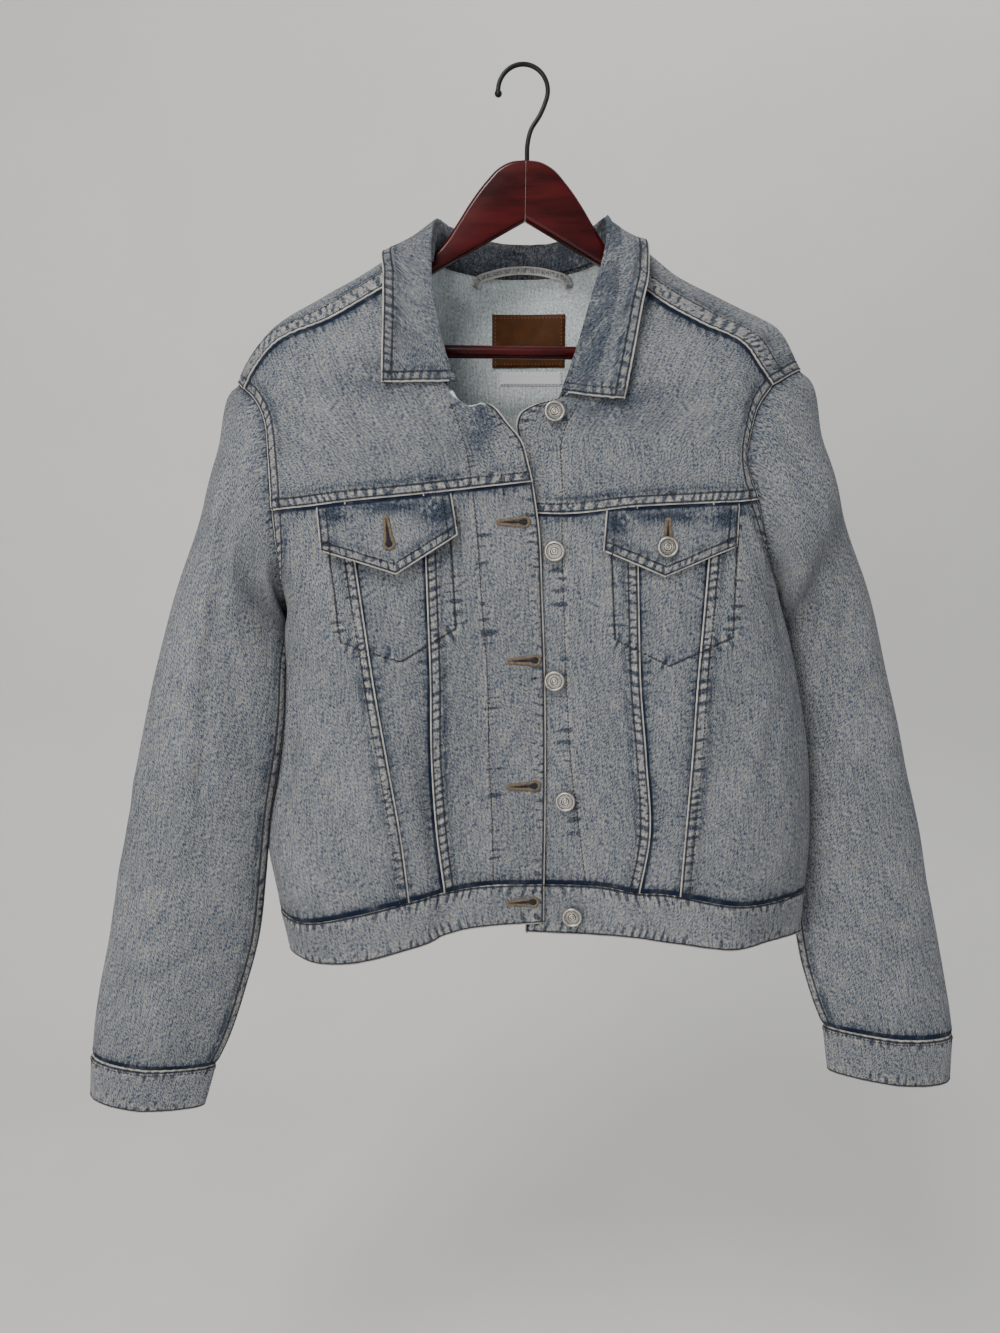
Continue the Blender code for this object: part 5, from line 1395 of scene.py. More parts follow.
def inside_finish():
    found = bpy.data.materials.get("inside of the denim")
    if found:
        return found
    tints = bpy.context.scene.jacket_colours
    made, w, shader = new_material("inside of the denim", tints.inside[:], 0.9)
    vector = w.node("ShaderNodeUVMap", uv_map="weave").outputs[0]
    weave = group_node(w, weave_group(), {"Vector": vector, "Grain": 0.8})
    flecks = w.ramp(w.noise(w.stretched(vector, (30, 60, 1)), 1.0, 2.0), 0.6, 0.75)
    base = w.mix(weave.outputs["Thread"], (*[k * 0.55 for k in tints.inside], 1),
                 (*[min(1, k * 1.35) for k in tints.inside], 1))
    base = w.mix(w.math("MULTIPLY", flecks, 0.3), base, (0.38, 0.26, 0.21, 1))
    w.feed(shader.inputs["Base Color"], base)
    shader.inputs["Specular IOR Level"].default_value = 0.2
    bump = w.node("ShaderNodeBump", {"Strength": 0.5, "Distance": 0.0005,
                                     "Height": weave.outputs["Height"]})
    w.feed(shader.inputs["Normal"], bump.outputs[0])
    return made


def plain_finish(name, colour, roughness, spots=0.25, scale=180.0, bump_strength=0.3,
                 metallic=0.0, coat=0.0, stretch=(1, 1, 1), shine=0.5):
    """A finish whose colour and height wander a little over the piece's own space."""
    found = bpy.data.materials.get(name)
    if found:
        return found
    made, w, shader = new_material(name, colour, roughness)
    place = w.node("ShaderNodeTexCoord").outputs["Object"]
    grain = w.noise(w.stretched(place, stretch), scale, 4.0, 0.6)
    share = w.ramp(grain, 0.3, 0.7)
    w.feed(shader.inputs["Base Color"],
           w.mix(share, (*[k * (1 - spots) for k in colour], 1),
                 (*[min(1, k * (1 + spots)) for k in colour], 1)))
    w.feed(shader.inputs["Roughness"], w.ramp(grain, 0.3, 0.7, roughness * 0.85,
                                              min(1, roughness * 1.15)))
    shader.inputs["Metallic"].default_value = metallic
    shader.inputs["Coat Weight"].default_value = coat
    shader.inputs["Specular IOR Level"].default_value = shine
    shader.inputs["Coat Roughness"].default_value = 0.12
    bump = w.node("ShaderNodeBump", {"Strength": bump_strength, "Distance": 0.0004,
                                     "Height": grain})
    w.feed(shader.inputs["Normal"], bump.outputs[0])
    return made


def stitch_tree():
    """Threads laid on points: each points along "along" and rises along "up"."""
    found = bpy.data.node_groups.get("Rows of stitches")
    if found:
        return found
    tree, start, end = new_group(
        "Rows of stitches", "GeometryNodeTree",
        (("Geometry", "NodeSocketGeometry", None), ("Stitch length", "NodeSocketFloat", 0.0026),
         ("Stitch width", "NodeSocketFloat", 0.0007), ("Stitch height", "NodeSocketFloat", 0.0006),
         ("Thread", "NodeSocketMaterial", None)),
        (("Geometry", "NodeSocketGeometry"),))
    w = Wiring(tree)
    thread = w.node("GeometryNodeMeshIcoSphere", {"Radius": 0.5, "Subdivisions": 1})
    size = w.node("ShaderNodeCombineXYZ", {"X": start.outputs["Stitch length"],
                                           "Y": start.outputs["Stitch width"],
                                           "Z": start.outputs["Stitch height"]})
    shaped = w.node("GeometryNodeTransform", {"Geometry": thread.outputs["Mesh"],
                                              "Scale": size.outputs[0]})
    along_way = w.node("GeometryNodeInputNamedAttribute", {"Name": "along"},
                       data_type="FLOAT_VECTOR")
    up_way = w.node("GeometryNodeInputNamedAttribute", {"Name": "up"}, data_type="FLOAT_VECTOR")
    turned = w.node("FunctionNodeAxesToRotation", {"Primary Axis": along_way.outputs[0],
                                                   "Secondary Axis": up_way.outputs[0]},
                    primary_axis="X", secondary_axis="Z")
    uneven_size = w.node("FunctionNodeRandomValue", {"Min": (0.86, 0.8, 0.8),
                                                     "Max": (1.08, 1.15, 1.1), "Seed": 7},
                         data_type="FLOAT_VECTOR")
    placed = w.node("GeometryNodeInstanceOnPoints", {
        "Points": start.outputs["Geometry"], "Instance": shaped.outputs[0],
        "Rotation": turned.outputs[0], "Scale": uneven_size.outputs[0]})
    real = w.node("GeometryNodeRealizeInstances", {"Geometry": placed.outputs[0]})
    smooth = w.node("GeometryNodeSetShadeSmooth", {"Geometry": real.outputs[0]})
    coloured = w.node("GeometryNodeSetMaterial", {"Geometry": smooth.outputs[0],
                                                  "Material": start.outputs["Thread"]})
    tree.links.new(coloured.outputs[0], end.inputs[0])
    return tree


class Rows:
    """Collects the places of stitches along lines, then makes them one mesh."""

    def __init__(self):
        self.places, self.along, self.up = [], [], []

    def add(self, line, normals, pitch=None, lift=0.12, across=False):
        size = bpy.context.scene.jacket_seams
        pitch = pitch or size.stitch_pitch / MM
        run = np.concatenate([[0], np.cumsum(np.linalg.norm(np.diff(line, axis=0), axis=1))])
        if run[-1] < pitch:
            return
        at = np.arange(pitch / 2, run[-1], pitch)
        mixed = np.column_stack([np.interp(at, run, line[:, k]) for k in range(3)])
        ahead = np.column_stack([np.interp(at + 0.8, run, line[:, k]) for k in range(3)])
        back = np.column_stack([np.interp(at - 0.8, run, line[:, k]) for k in range(3)])
        up = unit(np.column_stack([np.interp(at, run, normals[:, k]) for k in range(3)]))
        way = unit(ahead - back + 1e-9)
        self.places.append(mixed + up * lift)
        self.along.append(np.cross(up, way) if across else way)
        self.up.append(up)

    def make(self, name, finish, length, width, height=None):
        places = np.concatenate(self.places)
        mesh = bpy.data.meshes.new(name)
        mesh.from_pydata((places * MM).tolist(), [], [])
        for label, vectors in (("along", self.along), ("up", self.up)):
            layer = mesh.attributes.new(label, "FLOAT_VECTOR", "POINT")
            layer.data.foreach_set("vector",
                                   np.concatenate(vectors).astype(np.float32).ravel())
        points = bpy.data.objects.new(name + "_points", mesh)
        bpy.context.scene.collection.objects.link(points)
        rows = points.modifiers.new("rows of stitches", "NODES")
        tree = stitch_tree()
        rows.node_group = tree
        keys = {item.name: item.identifier for item in tree.interface.items_tree
                if item.in_out == "INPUT"}
        rows[keys["Stitch length"]] = length * MM
        rows[keys["Stitch width"]] = width * MM
        rows[keys["Stitch height"]] = (height or width * 0.8) * MM
        rows[keys["Thread"]] = finish
        graph = bpy.context.evaluated_depsgraph_get()
        made_mesh = bpy.data.meshes.new_from_object(points.evaluated_get(graph))
        points.modifiers.remove(rows)
        bpy.data.objects.remove(points)
        made_mesh.name = name
        made = bpy.data.objects.new(name, made_mesh)
        bpy.context.scene.collection.objects.link(made)
        if finish.name not in [slot.name for slot in made_mesh.materials if slot]:
            made_mesh.materials.append(finish)
        return made


def stitch_edge(rows, name, edge, distances, low=0.0, high=1.0, extra=0.0):
    """Rows of stitches beside one edge of a panel, over part of that edge."""
    shell = SHELLS[name]
    for away in distances:
        line, normals = shell.offset_line(edge, away + extra)
        first, last = int(low * (len(line) - 1)), int(high * (len(line) - 1)) + 1
        rows.add(line[first:last], normals[first:last])


def on_front(side, x, z, lift=0.0):
    """Points of the finished front at x and z, whichever panel lies there."""
    cloth = FRONTS[side]
    s, t = cloth.find(x, z, 0.5, 1.15)
    points, normals = np.empty(s.shape + (3,)), np.empty(s.shape + (3,))
    panels = (("front_side_", -1, OUTER_V), ("front_middle_", OUTER_V, INNER_V),
              ("front_centre_", INNER_V, 2))
    for name, low, high in panels:
        here = (s >= low) & (s < high) & (t >= 1)
        if here.any():
            points[here], normals[here] = SHELLS[name + side].at(s[here], t[here], lift)
    high_up = t < 1
    if high_up.any():
        points[high_up], normals[high_up] = SHELLS["front_yoke_" + side].at(
            s[high_up], t[high_up], lift)
    return points, normals


def build_stitching():
    size = bpy.context.scene.jacket_seams
    near, far = size.stitch_near / MM, size.stitch_far / MM
    both = (near, far)
    thread = thread_finish()
    length, width = size.stitch_length / MM, size.stitch_width / MM
    for side in ("r", "l"):
        rows = Rows()
        stitch_edge(rows, f"front_yoke_{side}", "bottom", both)
        stitch_edge(rows, f"front_yoke_{side}", "left", both)
        stitch_edge(rows, f"front_yoke_{side}", "right", (near,), 0.45, 1)
        stitch_edge(rows, f"front_side_{side}", "left", both, 0.01, 0.99)
        stitch_edge(rows, f"front_side_{side}", "right", both, 0.01, 0.99)
        stitch_edge(rows, f"front_centre_{side}", "left", both, 0.01, 0.99)
        stitch_edge(rows, f"front_centre_{side}", "right", (near,), 0.01, 0.99)
        stitch_edge(rows, f"waistband_front_{side}", "top", (near,))
        stitch_edge(rows, f"waistband_front_{side}", "bottom", (near,))
        stitch_edge(rows, f"waistband_front_{side}", "right", (near,))
        t = np.linspace(0.62 if side == "r" else 0.58, 1, 60)
        rows.add(*SHELLS[f"front_yoke_{side}"].at(0 * t + 0.85, t))
        t = np.linspace(1.01, 2, 160)
        rows.add(*SHELLS[f"front_centre_{side}"].at(0 * t + 0.85, t))
        corners = BAG_R if side == "r" else BAG_L
        outline = [corners.top_out, corners.low_out, corners.point, corners.low_in,
                   corners.top_in]
        path = np.concatenate([np.linspace(a, b, 40) for a, b in zip(outline, outline[1:])])
        rows.add(*on_front(side, path[:, 0], path[:, 1]))
        flap = f"pocket_flap_{side}"
        for edge in ("left", "right", "bottom"):
            stitch_edge(rows, flap, edge, both, 0.03, 0.97)
        made = rows.make(f"stitching_front_{side}", thread, length, width)
        finish_trim(made, "denim")
    rows = Rows()
    wide = (near, size.band_width / MM * 1.9 - 2.3)
    stitch_edge(rows, "back_yoke", "top", wide, 0, NECK_R * 0.94)
    stitch_edge(rows, "back_yoke", "top", wide, 1 - NECK_R * 0.94, 1)
    stitch_edge(rows, "back_yoke", "bottom", both)
    stitch_edge(rows, "back_yoke", "left", both)
    stitch_edge(rows, "back_yoke", "right", both)
    stitch_edge(rows, "back_panel", "left", both)
    stitch_edge(rows, "back_panel", "right", both)
    for s in (0.24, 0.76):
        for shift in (-0.008, 0.008):
            t = np.linspace(1.01, 1.995, 160)
            lean = 0.035 * (t - 1) * (1 if s < 0.5 else -1)
            rows.add(*SHELLS["back_panel"].at(s + shift + lean, t))
    stitch_edge(rows, "waistband_back", "top", (near,))
    stitch_edge(rows, "waistband_back", "bottom", (near,))
    finish_trim(rows.make("stitching_back", thread, length, width), "denim")
    rows = Rows()
    for side in ("r", "l"):
        stitch_edge(rows, f"sleeve_front_{side}", "left", both, 0.04, 0.97)
        stitch_edge(rows, f"sleeve_front_{side}", "right", both, 0.04, 0.97)
        for edge in ("top", "bottom"):
            stitch_edge(rows, f"cuff_{side}", edge, (near, near + 2.2)[:1 + (edge == "top")])
    for edge in ("left", "right"):
        stitch_edge(rows, "collar", edge, both, 0.6, 0.98)
    stitch_edge(rows, "collar", "bottom", both, 0.01, 0.99)
    finish_trim(rows.make("stitching_sleeves_and_collar", thread, length, width), "denim")


def finish_trim(made, slot, *nodes):
    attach(made, "root")
    if nodes:
        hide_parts(*nodes)
    PIECES[made.name] = made
    return made


def thread_finish():
    tints = bpy.context.scene.jacket_colours
    return plain_finish("dark brown thread", tints.thread[:], 0.75, 0.35, 900.0, 0.2)


def leather_finish():
    tints = bpy.context.scene.jacket_colours
    return plain_finish("brown leather", tints.leather[:], 0.6, 0.22, 120.0, 0.35, coat=0.05,
                        shine=0.15)


def label_finish():
    return plain_finish("white woven label", (0.62, 0.62, 0.65), 0.6, 0.08, 1500.0, 0.25)


def metal_finish():
    found = bpy.data.materials.get("aged silver metal")
    if found:
        return found
    made = plain_finish("aged silver metal", (0.52, 0.49, 0.44), 0.42, 0.3, 900.0, 0.25,
                        metallic=1.0)
    w = Wiring(made.node_tree)
    base = made.node_tree.nodes["Principled BSDF"].inputs["Base Color"]
    clean = base.links[0].from_socket
    # Near-black where recess is set: darker hollows, and painted shade under the head and on the
    # stem.
    w.feed(base, w.mix(w.attribute("recess"), clean, (0.03, 0.03, 0.032, 1)))
    return made


def lacquer_finish():
    tints = bpy.context.scene.jacket_colours
    return plain_finish("mahogany lacquer", tints.wood[:], 0.3, 0.45, 14.0, 0.04, coat=0.15,
                        stretch=(1, 1, 5), shine=0.2)


def wire_finish():
    return plain_finish("black wire", (0.012, 0.012, 0.013), 0.35, 0.3, 300.0, 0.1, 0.6)


def laid_shell(name, cloth, x, z, depth, way, guess):
    """A flat piece laid on a cloth's inner side, depth below its outer face."""
    s, t = cloth.find(x, z, *guess)
    normals = cloth.normal(s, t)
    shell = Shell(name, cloth.at(s, t) - normals * depth, way)
    if (shell.normals * normals).sum() > 0:
        shell = Shell(name, shell.base, -way)
    return shell


def build_inside():
    """The leather patch, the size label and the hanging loop inside the back yoke."""
    for name, box, wall, finish, slot in (
            ("patch", PATCH, PATCH_WALL, leather_finish(), "leather"),
            ("size_label", LABEL, LABEL_WALL, label_finish(), "label")):
        x, z = np.meshgrid(stations(box[0], box[1], 44), stations(box[2], box[3], 24),
                           indexing="ij")
        shell = laid_shell(name, BACK_CLOTH, x, z, DENIM + LAY_GAP + wall, 1, (0.5, 0.5))
        shell.relief -= 0.9 * (1 - smooth_step(np.minimum(
            np.minimum(shell.left, shell.right), np.minimum(shell.top, shell.bottom)), 0, 2.0))
        shell.ripple(0.5 if name == "patch" else 0.3, 13)
        shell.settle()
        made = cloth_object(shell, wall, (finish,))
        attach(made, "root")
        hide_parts(name)
        SHELLS[name] = shell
        PIECES[name] = made
    rows = Rows()
    for edge in ("left", "right", "top", "bottom"):
        stitch_edge(rows, "patch", edge, (3.0,), 0.04, 0.96)
        stitch_edge(rows, "size_label", edge, (1.2,), 0.03, 0.97)
    made = rows.make("stitching_patch", plain_finish("pale patch thread", (0.2, 0.14, 0.09),
                                                     0.7, 0.2, 900.0), 1.4, 0.7)
    finish_trim(made, "leather")
    build_loop()


def build_loop():
    path = along(np.array(LOOP_PATH), np.linspace(0, 1, 60))
    anchor = BACK_CLOTH.at(*BACK_CLOTH.find(path[:, 0], np.minimum(path[:, 2], -164), 0.5, 0.1))
    thick, wide = LOOP_SIZE
    centre = np.column_stack([path[:, 0], anchor[:, 1] - DENIM - path[:, 1], path[:, 2]])
    direction = unit(np.gradient(centre, axis=0))
    across = unit(np.cross(direction, np.array([0.0, 1.0, 0.0])))
    face = unit(np.cross(across, direction))
    turn = np.linspace(0, 2 * math.pi, 17)
    offsets_a = wide / 2 * np.sign(np.cos(turn)) * np.abs(np.cos(turn)) ** 0.35
    offsets_f = thick / 2 * np.sign(np.sin(turn)) * np.abs(np.sin(turn)) ** 0.5
    grid = (centre[:, None] + across[:, None] * offsets_a[None, :, None]
            + face[:, None] * offsets_f[None, :, None])
    points = grid[:, :-1]
    count, sides = points.shape[:2]
    faces = [(i * sides + j, (i + 1) * sides + j, (i + 1) * sides + (j + 1) % sides,
              i * sides + (j + 1) % sides) for i in range(count - 1) for j in range(sides)]
    faces += [tuple(range(sides)), tuple(range((count - 1) * sides, count * sides))]
    mesh = bpy.data.meshes.new("hanging_loop_strip")
    mesh.from_pydata((points.reshape(-1, 3) * MM).tolist(), [], faces)
    outward_faces(mesh)
    mesh.uv_layers.new(name="weave")
    spread = np.empty(len(mesh.loops), np.int64)
    mesh.loops.foreach_get("vertex_index", spread)
    run = np.concatenate([[0], np.cumsum(np.linalg.norm(np.diff(centre, axis=0), axis=1))])
    flat = np.stack(np.broadcast_arrays(run[:, None], offsets_a[None, :-1]), -1).reshape(-1, 2)
    mesh.uv_layers["weave"].data.foreach_set("uv", (flat[spread] * MM * 10).ravel())
    edge = np.broadcast_to((wide / 2 - np.abs(offsets_a[:-1]))[None], (count, sides))
    for name, values in (("edge", edge * 0.5 + 0.35), ("shade", edge * 0 + FAR),
                         ("row", edge * 0 + FAR), ("band", edge * 0 + 1),
                         ("dye", edge * 0),
                         ("pucker", edge * 0)):
        add_attribute(mesh, name, values)
    made = bpy.data.objects.new("hanging_loop_strip", mesh)
    bpy.context.scene.collection.objects.link(made)
    mesh.materials.append(denim_finish())
    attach(made, "root")
    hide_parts("hanging_loop")
    PIECES["hanging_loop"] = made


def outward_faces(mesh):
    shell = bmesh.new()
    shell.from_mesh(mesh)
    bmesh.ops.remove_doubles(shell, verts=shell.verts, dist=0.01 * MM)
    bmesh.ops.recalc_face_normals(shell, faces=shell.faces)
    shell.to_mesh(mesh)
    shell.free()
    mesh.shade_smooth()


def turned_mesh(name, profile, turns):
    """A profile of (radius, height) in millimetres turned about Z."""
    angles = np.linspace(0, 2 * math.pi, turns, endpoint=False)
    rings = [[(r * math.cos(a), r * math.sin(a), h) for a in angles] for r, h in profile]
    points = np.array(rings).reshape(-1, 3)
    faces = [(i * turns + j, i * turns + (j + 1) % turns, (i + 1) * turns + (j + 1) % turns,
              (i + 1) * turns + j) for i in range(len(profile) - 1) for j in range(turns)]
    mesh = bpy.data.meshes.new(name)
    mesh.from_pydata((points * MM).tolist(), [], faces)
    return mesh


# The head's face from the middle out: share of the radius, share of the head, and how much
# # its colour is darkened there, most in the hollows and under the rim.
BUTTON_FACE = (
    (0, 0.86, 0), (0.08, 0.85, 0), (0.14, 0.78, 0.5), (0.17, 0.70, 0.9), (0.20, 0.78, 0.4),
    (0.26, 0.82, 0), (0.31, 0.80, 0.2), (0.35, 0.66, 1), (0.38, 0.62, 1), (0.42, 0.70, 0.3),
    (0.47, 0.72, 0), (0.51, 0.64, 0.8), (0.55, 0.72, 0.1), (0.60, 0.64, 0.8), (0.64, 0.72, 0.1),
    (0.68, 0.64, 0.9), (0.72, 0.68, 0.8), (0.77, 0.92, 0.1), (0.83, 1.0, 0), (0.90, 0.95, 0),
    (0.96, 0.76, 0), (0.99, 0.5, 0.3), (0.97, 0.22, 0.6), (0.88, 0.04, 0.8),
)


def button_profile(stem):
    """Domed middle, hollow, fine ridges, raised rim, and the stem the head stands on."""
    r, h = BUTTON_RADIUS, BUTTON_HEAD
    face = [(r * out, stem + h * up) for out, up, _ in BUTTON_FACE]
    return face + [(r * 0.5, stem), (r * 0.33, stem - 0.05), (r * 0.3, stem * 0.5),
                   (r * 0.33, 0.1), (0, 0)]


def build_buttons():
    """Shank buttons on the wearer's left front and on both pockets."""
    above_flap = LAY_GAP + FLAP_LIFT["l"] * 0.8 + FLAP_WALL + LAY_GAP
    places = [(f"front_button_{n}", "l", place, (0.88, (0.7, 1.25, 1.5, 1.75, 2.5)[n - 1]),
               LAY_GAP, BUTTON_STANDOFF) for n, place in enumerate(FRONT_BUTTONS, 1)]
    places += [("pocket_button_l", "l", POCKET_BUTTON_L, (0.5, 1.1), above_flap, LOW_STANDOFF),
               ("pocket_button_r", "r", POCKET_BUTTON_R, (0.5, 1.1), LAY_GAP, LOW_STANDOFF)]
    for name, side, place, guess, off, stem in places:
        cloth = FRONTS[side]
        s, t = cloth.find(np.array([place[0]]), np.array([place[1]]), *guess)
        normal = cloth.normal(s, t)[0]
        point = Vector((cloth.at(s, t)[0] + normal * off) * MM)
        profile = button_profile(stem)
        mesh = turned_mesh(name + "_cap", profile, 48)
        # The stem and the head's underside are darkened too: painted shade beneath the head.
        darkening = [row[2] for row in BUTTON_FACE] + [0.8] * (len(profile) - len(BUTTON_FACE))
        add_attribute(mesh, "recess", np.repeat(darkening, 48))
        turn = Vector(normal).to_track_quat("Z", "Y").to_matrix().to_4x4()
        mesh.transform(Matrix.Translation(point) @ turn)
        outward_faces(mesh)
        made = bpy.data.objects.new(mesh.name, mesh)
        bpy.context.scene.collection.objects.link(made)
        mesh.materials.append(metal_finish())
        finish_trim(made, "metal", name)


BUTTONHOLES = (
    ("r", (-24.5, -370.5), (1.7, -370), "placket"), ("r", (-15.8, -483.4), (11, -483), "placket"),
    ("r", (-15.7, -589.4), (11, -589), "placket"), ("r", (-16, -690.4), (10.5, -690.4), "band"),
    ("r", (-113.3, -366), (-109.9, -392), "flap"), ("l", (112.1, -368), (111.5, -395), "flap"),
)


def build_buttonholes():
    """Keyhole buttonholes: close bars of tan thread round a slit and its round eye, whose opening
    is painted shade, laid as near-black stitches.
    """
    tints = bpy.context.scene.jacket_colours
    tan = plain_finish("tan buttonhole thread", tints.tan[:], 0.75, 0.45, 700.0)
    # The open slit and eye are painted shade: near-black stitches stand for the shadow in the hole.
    dark = plain_finish("dark slit", (0.012, 0.013, 0.018), 0.9, 0.2, 500.0)
    bars, slit_shade = Rows(), Rows()
    for side, start, end, place in BUTTONHOLES:
        start, end = np.array(start, float), np.array(end, float)
        way = (end - start) / np.linalg.norm(end - start)
        beside = np.array([-way[1], way[0]])
        eye = end - way * 4.4
        turn = np.linspace(-0.74 * math.pi, 0.74 * math.pi, 30)
        around = (eye + np.outer(np.cos(turn), way) * 4.0
                  + np.outer(np.sin(turn), beside) * 4.0)
        outline = np.concatenate([[start + beside * -1.1], around, [start + beside * 1.1]])
        outline = np.concatenate([np.linspace(a, b, 12) for a, b in
                                  zip(outline, outline[1:])])
        middle = np.linspace(start + way * 5, eye, 30)
        turn = np.linspace(0, 2 * math.pi, 24)
        hole = np.concatenate([eye + np.column_stack([np.cos(turn), np.sin(turn)]) * out
                               - way * back for out, back in ((0.7, 0), (1.7, 0), (1.0, 2.5))])
        for rows, path, pitch in ((bars, outline, 0.5), (slit_shade, middle, 0.5),
                                  (slit_shade, hole, 0.4)):
            points, normals = surface_at(side, place, path)
            rows.add(points, normals, pitch, 0.45 if rows is bars else 0.25, rows is bars)
        tack = np.array([start - beside * 1.8, start + beside * 1.8])
        points, normals = surface_at(side, place, np.linspace(*tack, 12))
        bars.add(points, normals, 0.5, 0.5, True)
    finish_trim(bars.make("buttonhole_thread", tan, 3.6, 0.62, 1.1), "denim")
    finish_trim(slit_shade.make("buttonhole_slits", dark, 1.6, 1.9, 0.4), "denim")


def surface_at(side, place, path):
    """Points of the finished cloth under a path of x and z on a front, flap or band."""
    if place == "flap":
        shell = SHELLS[f"pocket_flap_{side}"]
        flat = shell.points.reshape(-1, 3)
        near = [np.argmin((flat[:, 0] - x) ** 2 + (flat[:, 2] - z) ** 2) for x, z in path]
        points = flat[near].copy()
        points[:, 0], points[:, 2] = path[:, 0], path[:, 1]
        return points, shell.normals.reshape(-1, 3)[near]
    if place == "band":
        s, t = FRONTS[side].find(path[:, 0], path[:, 1], 0.9, 2.5)
        return SHELLS[f"waistband_front_{side}"].at(s, t)
    return on_front(side, path[:, 0], path[:, 1])


def board_outline(sign):
    top = along(ARM_TOP, np.linspace(0, 1, 70))
    tip = along((ARM_TOP[-1],) + ARM_TIP + (ARM_FOOT[0],), np.linspace(0, 1, 26))[1:-1]
    under = along(ARM_UNDER, np.linspace(0, 1, 60))
    foot = along(ARM_FOOT + (ARM_UNDER[0],), np.linspace(0, 1, 20))[:-1]
    return np.concatenate([top, tip, foot, under]) * (sign, 1)


def tilted():
    return Matrix.Rotation(HANGER_TILT, 4, "Y")


def build_hanger():
    """Two lacquered arms, a round bar and the wire hook."""
    for side, sign in (("r", -1), ("l", 1)):
        name = f"hanger_arm_{side}_wood"
        board = bmesh.new()
        corners = [board.verts.new((x * MM, -BOARD / 2 * MM, z * MM))
                   for x, z in board_outline(sign)]
        face = board.faces.new(corners)
        grown = bmesh.ops.extrude_face_region(board, geom=[face])["geom"]
        moved = [item for item in grown if isinstance(item, bmesh.types.BMVert)]
        bmesh.ops.translate(board, verts=moved, vec=(0, BOARD * MM, 0))
        bmesh.ops.recalc_face_normals(board, faces=board.faces)
        rims = [edge for edge in board.edges
                if abs(edge.verts[0].co.y - edge.verts[1].co.y) < 1e-6
                and abs(edge.verts[0].co.x) + abs(edge.verts[1].co.x) > 1 * MM]
        bmesh.ops.bevel(board, geom=rims, offset=BOARD_EDGE * 1.2 * MM, segments=5,
                        profile=0.5, affect="EDGES", clamp_overlap=True)
        mesh = bpy.data.meshes.new(name)
        board.to_mesh(mesh)
        board.free()
        mesh.shade_smooth()
        mesh.set_sharp_from_angle(angle=math.radians(35))
        mesh.transform(tilted())
        made = bpy.data.objects.new(name, mesh)
        bpy.context.scene.collection.objects.link(made)
        mesh.materials.append(lacquer_finish())
        finish_trim(made, "wood", f"hanger_arm_{side}")
    ends = np.array([0, 0.6, 2, 4])
    runs = np.concatenate([-BAR_END + ends, [0], BAR_END - ends[::-1]])
    radii = BAR_RADIUS * np.array([0.86, 0.95, 1, 1, 1, 1, 1, 0.95, 0.86])
    bar = [(x, 0, BAR_Z) for x in runs]
    tube_piece("hanger_bar_wood", bar, radii, 28, lacquer_finish(), "wood", "hanger_bar",
               tilted())
    angles = np.linspace(HOOK_TIP, HOOK_TURN, 60)
    arc = np.column_stack([HOOK_CENTRE[0] + HOOK_RADIUS * np.cos(angles), 0 * angles,
                           HOOK_CENTRE[1] + HOOK_RADIUS * np.sin(angles)])
    stem = [(x, 0, z) for x, z in STEM]
    drop = along(np.concatenate([arc[[-6, -1]], stem]), np.linspace(0, 1, 40))[8:]
    ball_angles = np.linspace(0.08, 2.4, 12)
    ball = arc[0] + unit(arc[0] - arc[1]) * BALL_RADIUS * np.cos(ball_angles)[:, None]
    path = np.concatenate([ball, arc[3:], drop])
    radii = np.full(len(path), WIRE_RADIUS)
    radii[:len(ball)] = BALL_RADIUS * np.sin(ball_angles)
    tube_piece("hanger_hook_wire", path, radii, 18, wire_finish(), "wire", "hanger_hook")


def tube_piece(name, path, radii, sides, finish, slot, node, placed=None):
    """A round piece along a path, closed at both ends."""
    path = np.asarray(path, float)
    way = unit(np.gradient(path, axis=0))
    aside = unit(np.cross(way, [0, 1, 0.02]))
    lift = np.cross(aside, way)
    turn = np.linspace(0, 2 * math.pi, sides, endpoint=False)
    rings = (path[:, None] + np.asarray(radii)[:, None, None]
             * (np.cos(turn)[None, :, None] * aside[:, None]
                + np.sin(turn)[None, :, None] * lift[:, None]))
    count = len(path)
    faces = [(i * sides + j, (i + 1) * sides + j, (i + 1) * sides + (j + 1) % sides,
              i * sides + (j + 1) % sides) for i in range(count - 1) for j in range(sides)]
    faces += [tuple(range(sides)), tuple(range((count - 1) * sides, count * sides))]
    mesh = bpy.data.meshes.new(name)
    mesh.from_pydata((rings.reshape(-1, 3) * MM).tolist(), [], faces)
    outward_faces(mesh)
    mesh.set_sharp_from_angle(angle=math.radians(50))
    if placed is not None:
        mesh.transform(placed)
    made = bpy.data.objects.new(name, mesh)
    bpy.context.scene.collection.objects.link(made)
    mesh.materials.append(finish)
    finish_trim(made, slot, node)


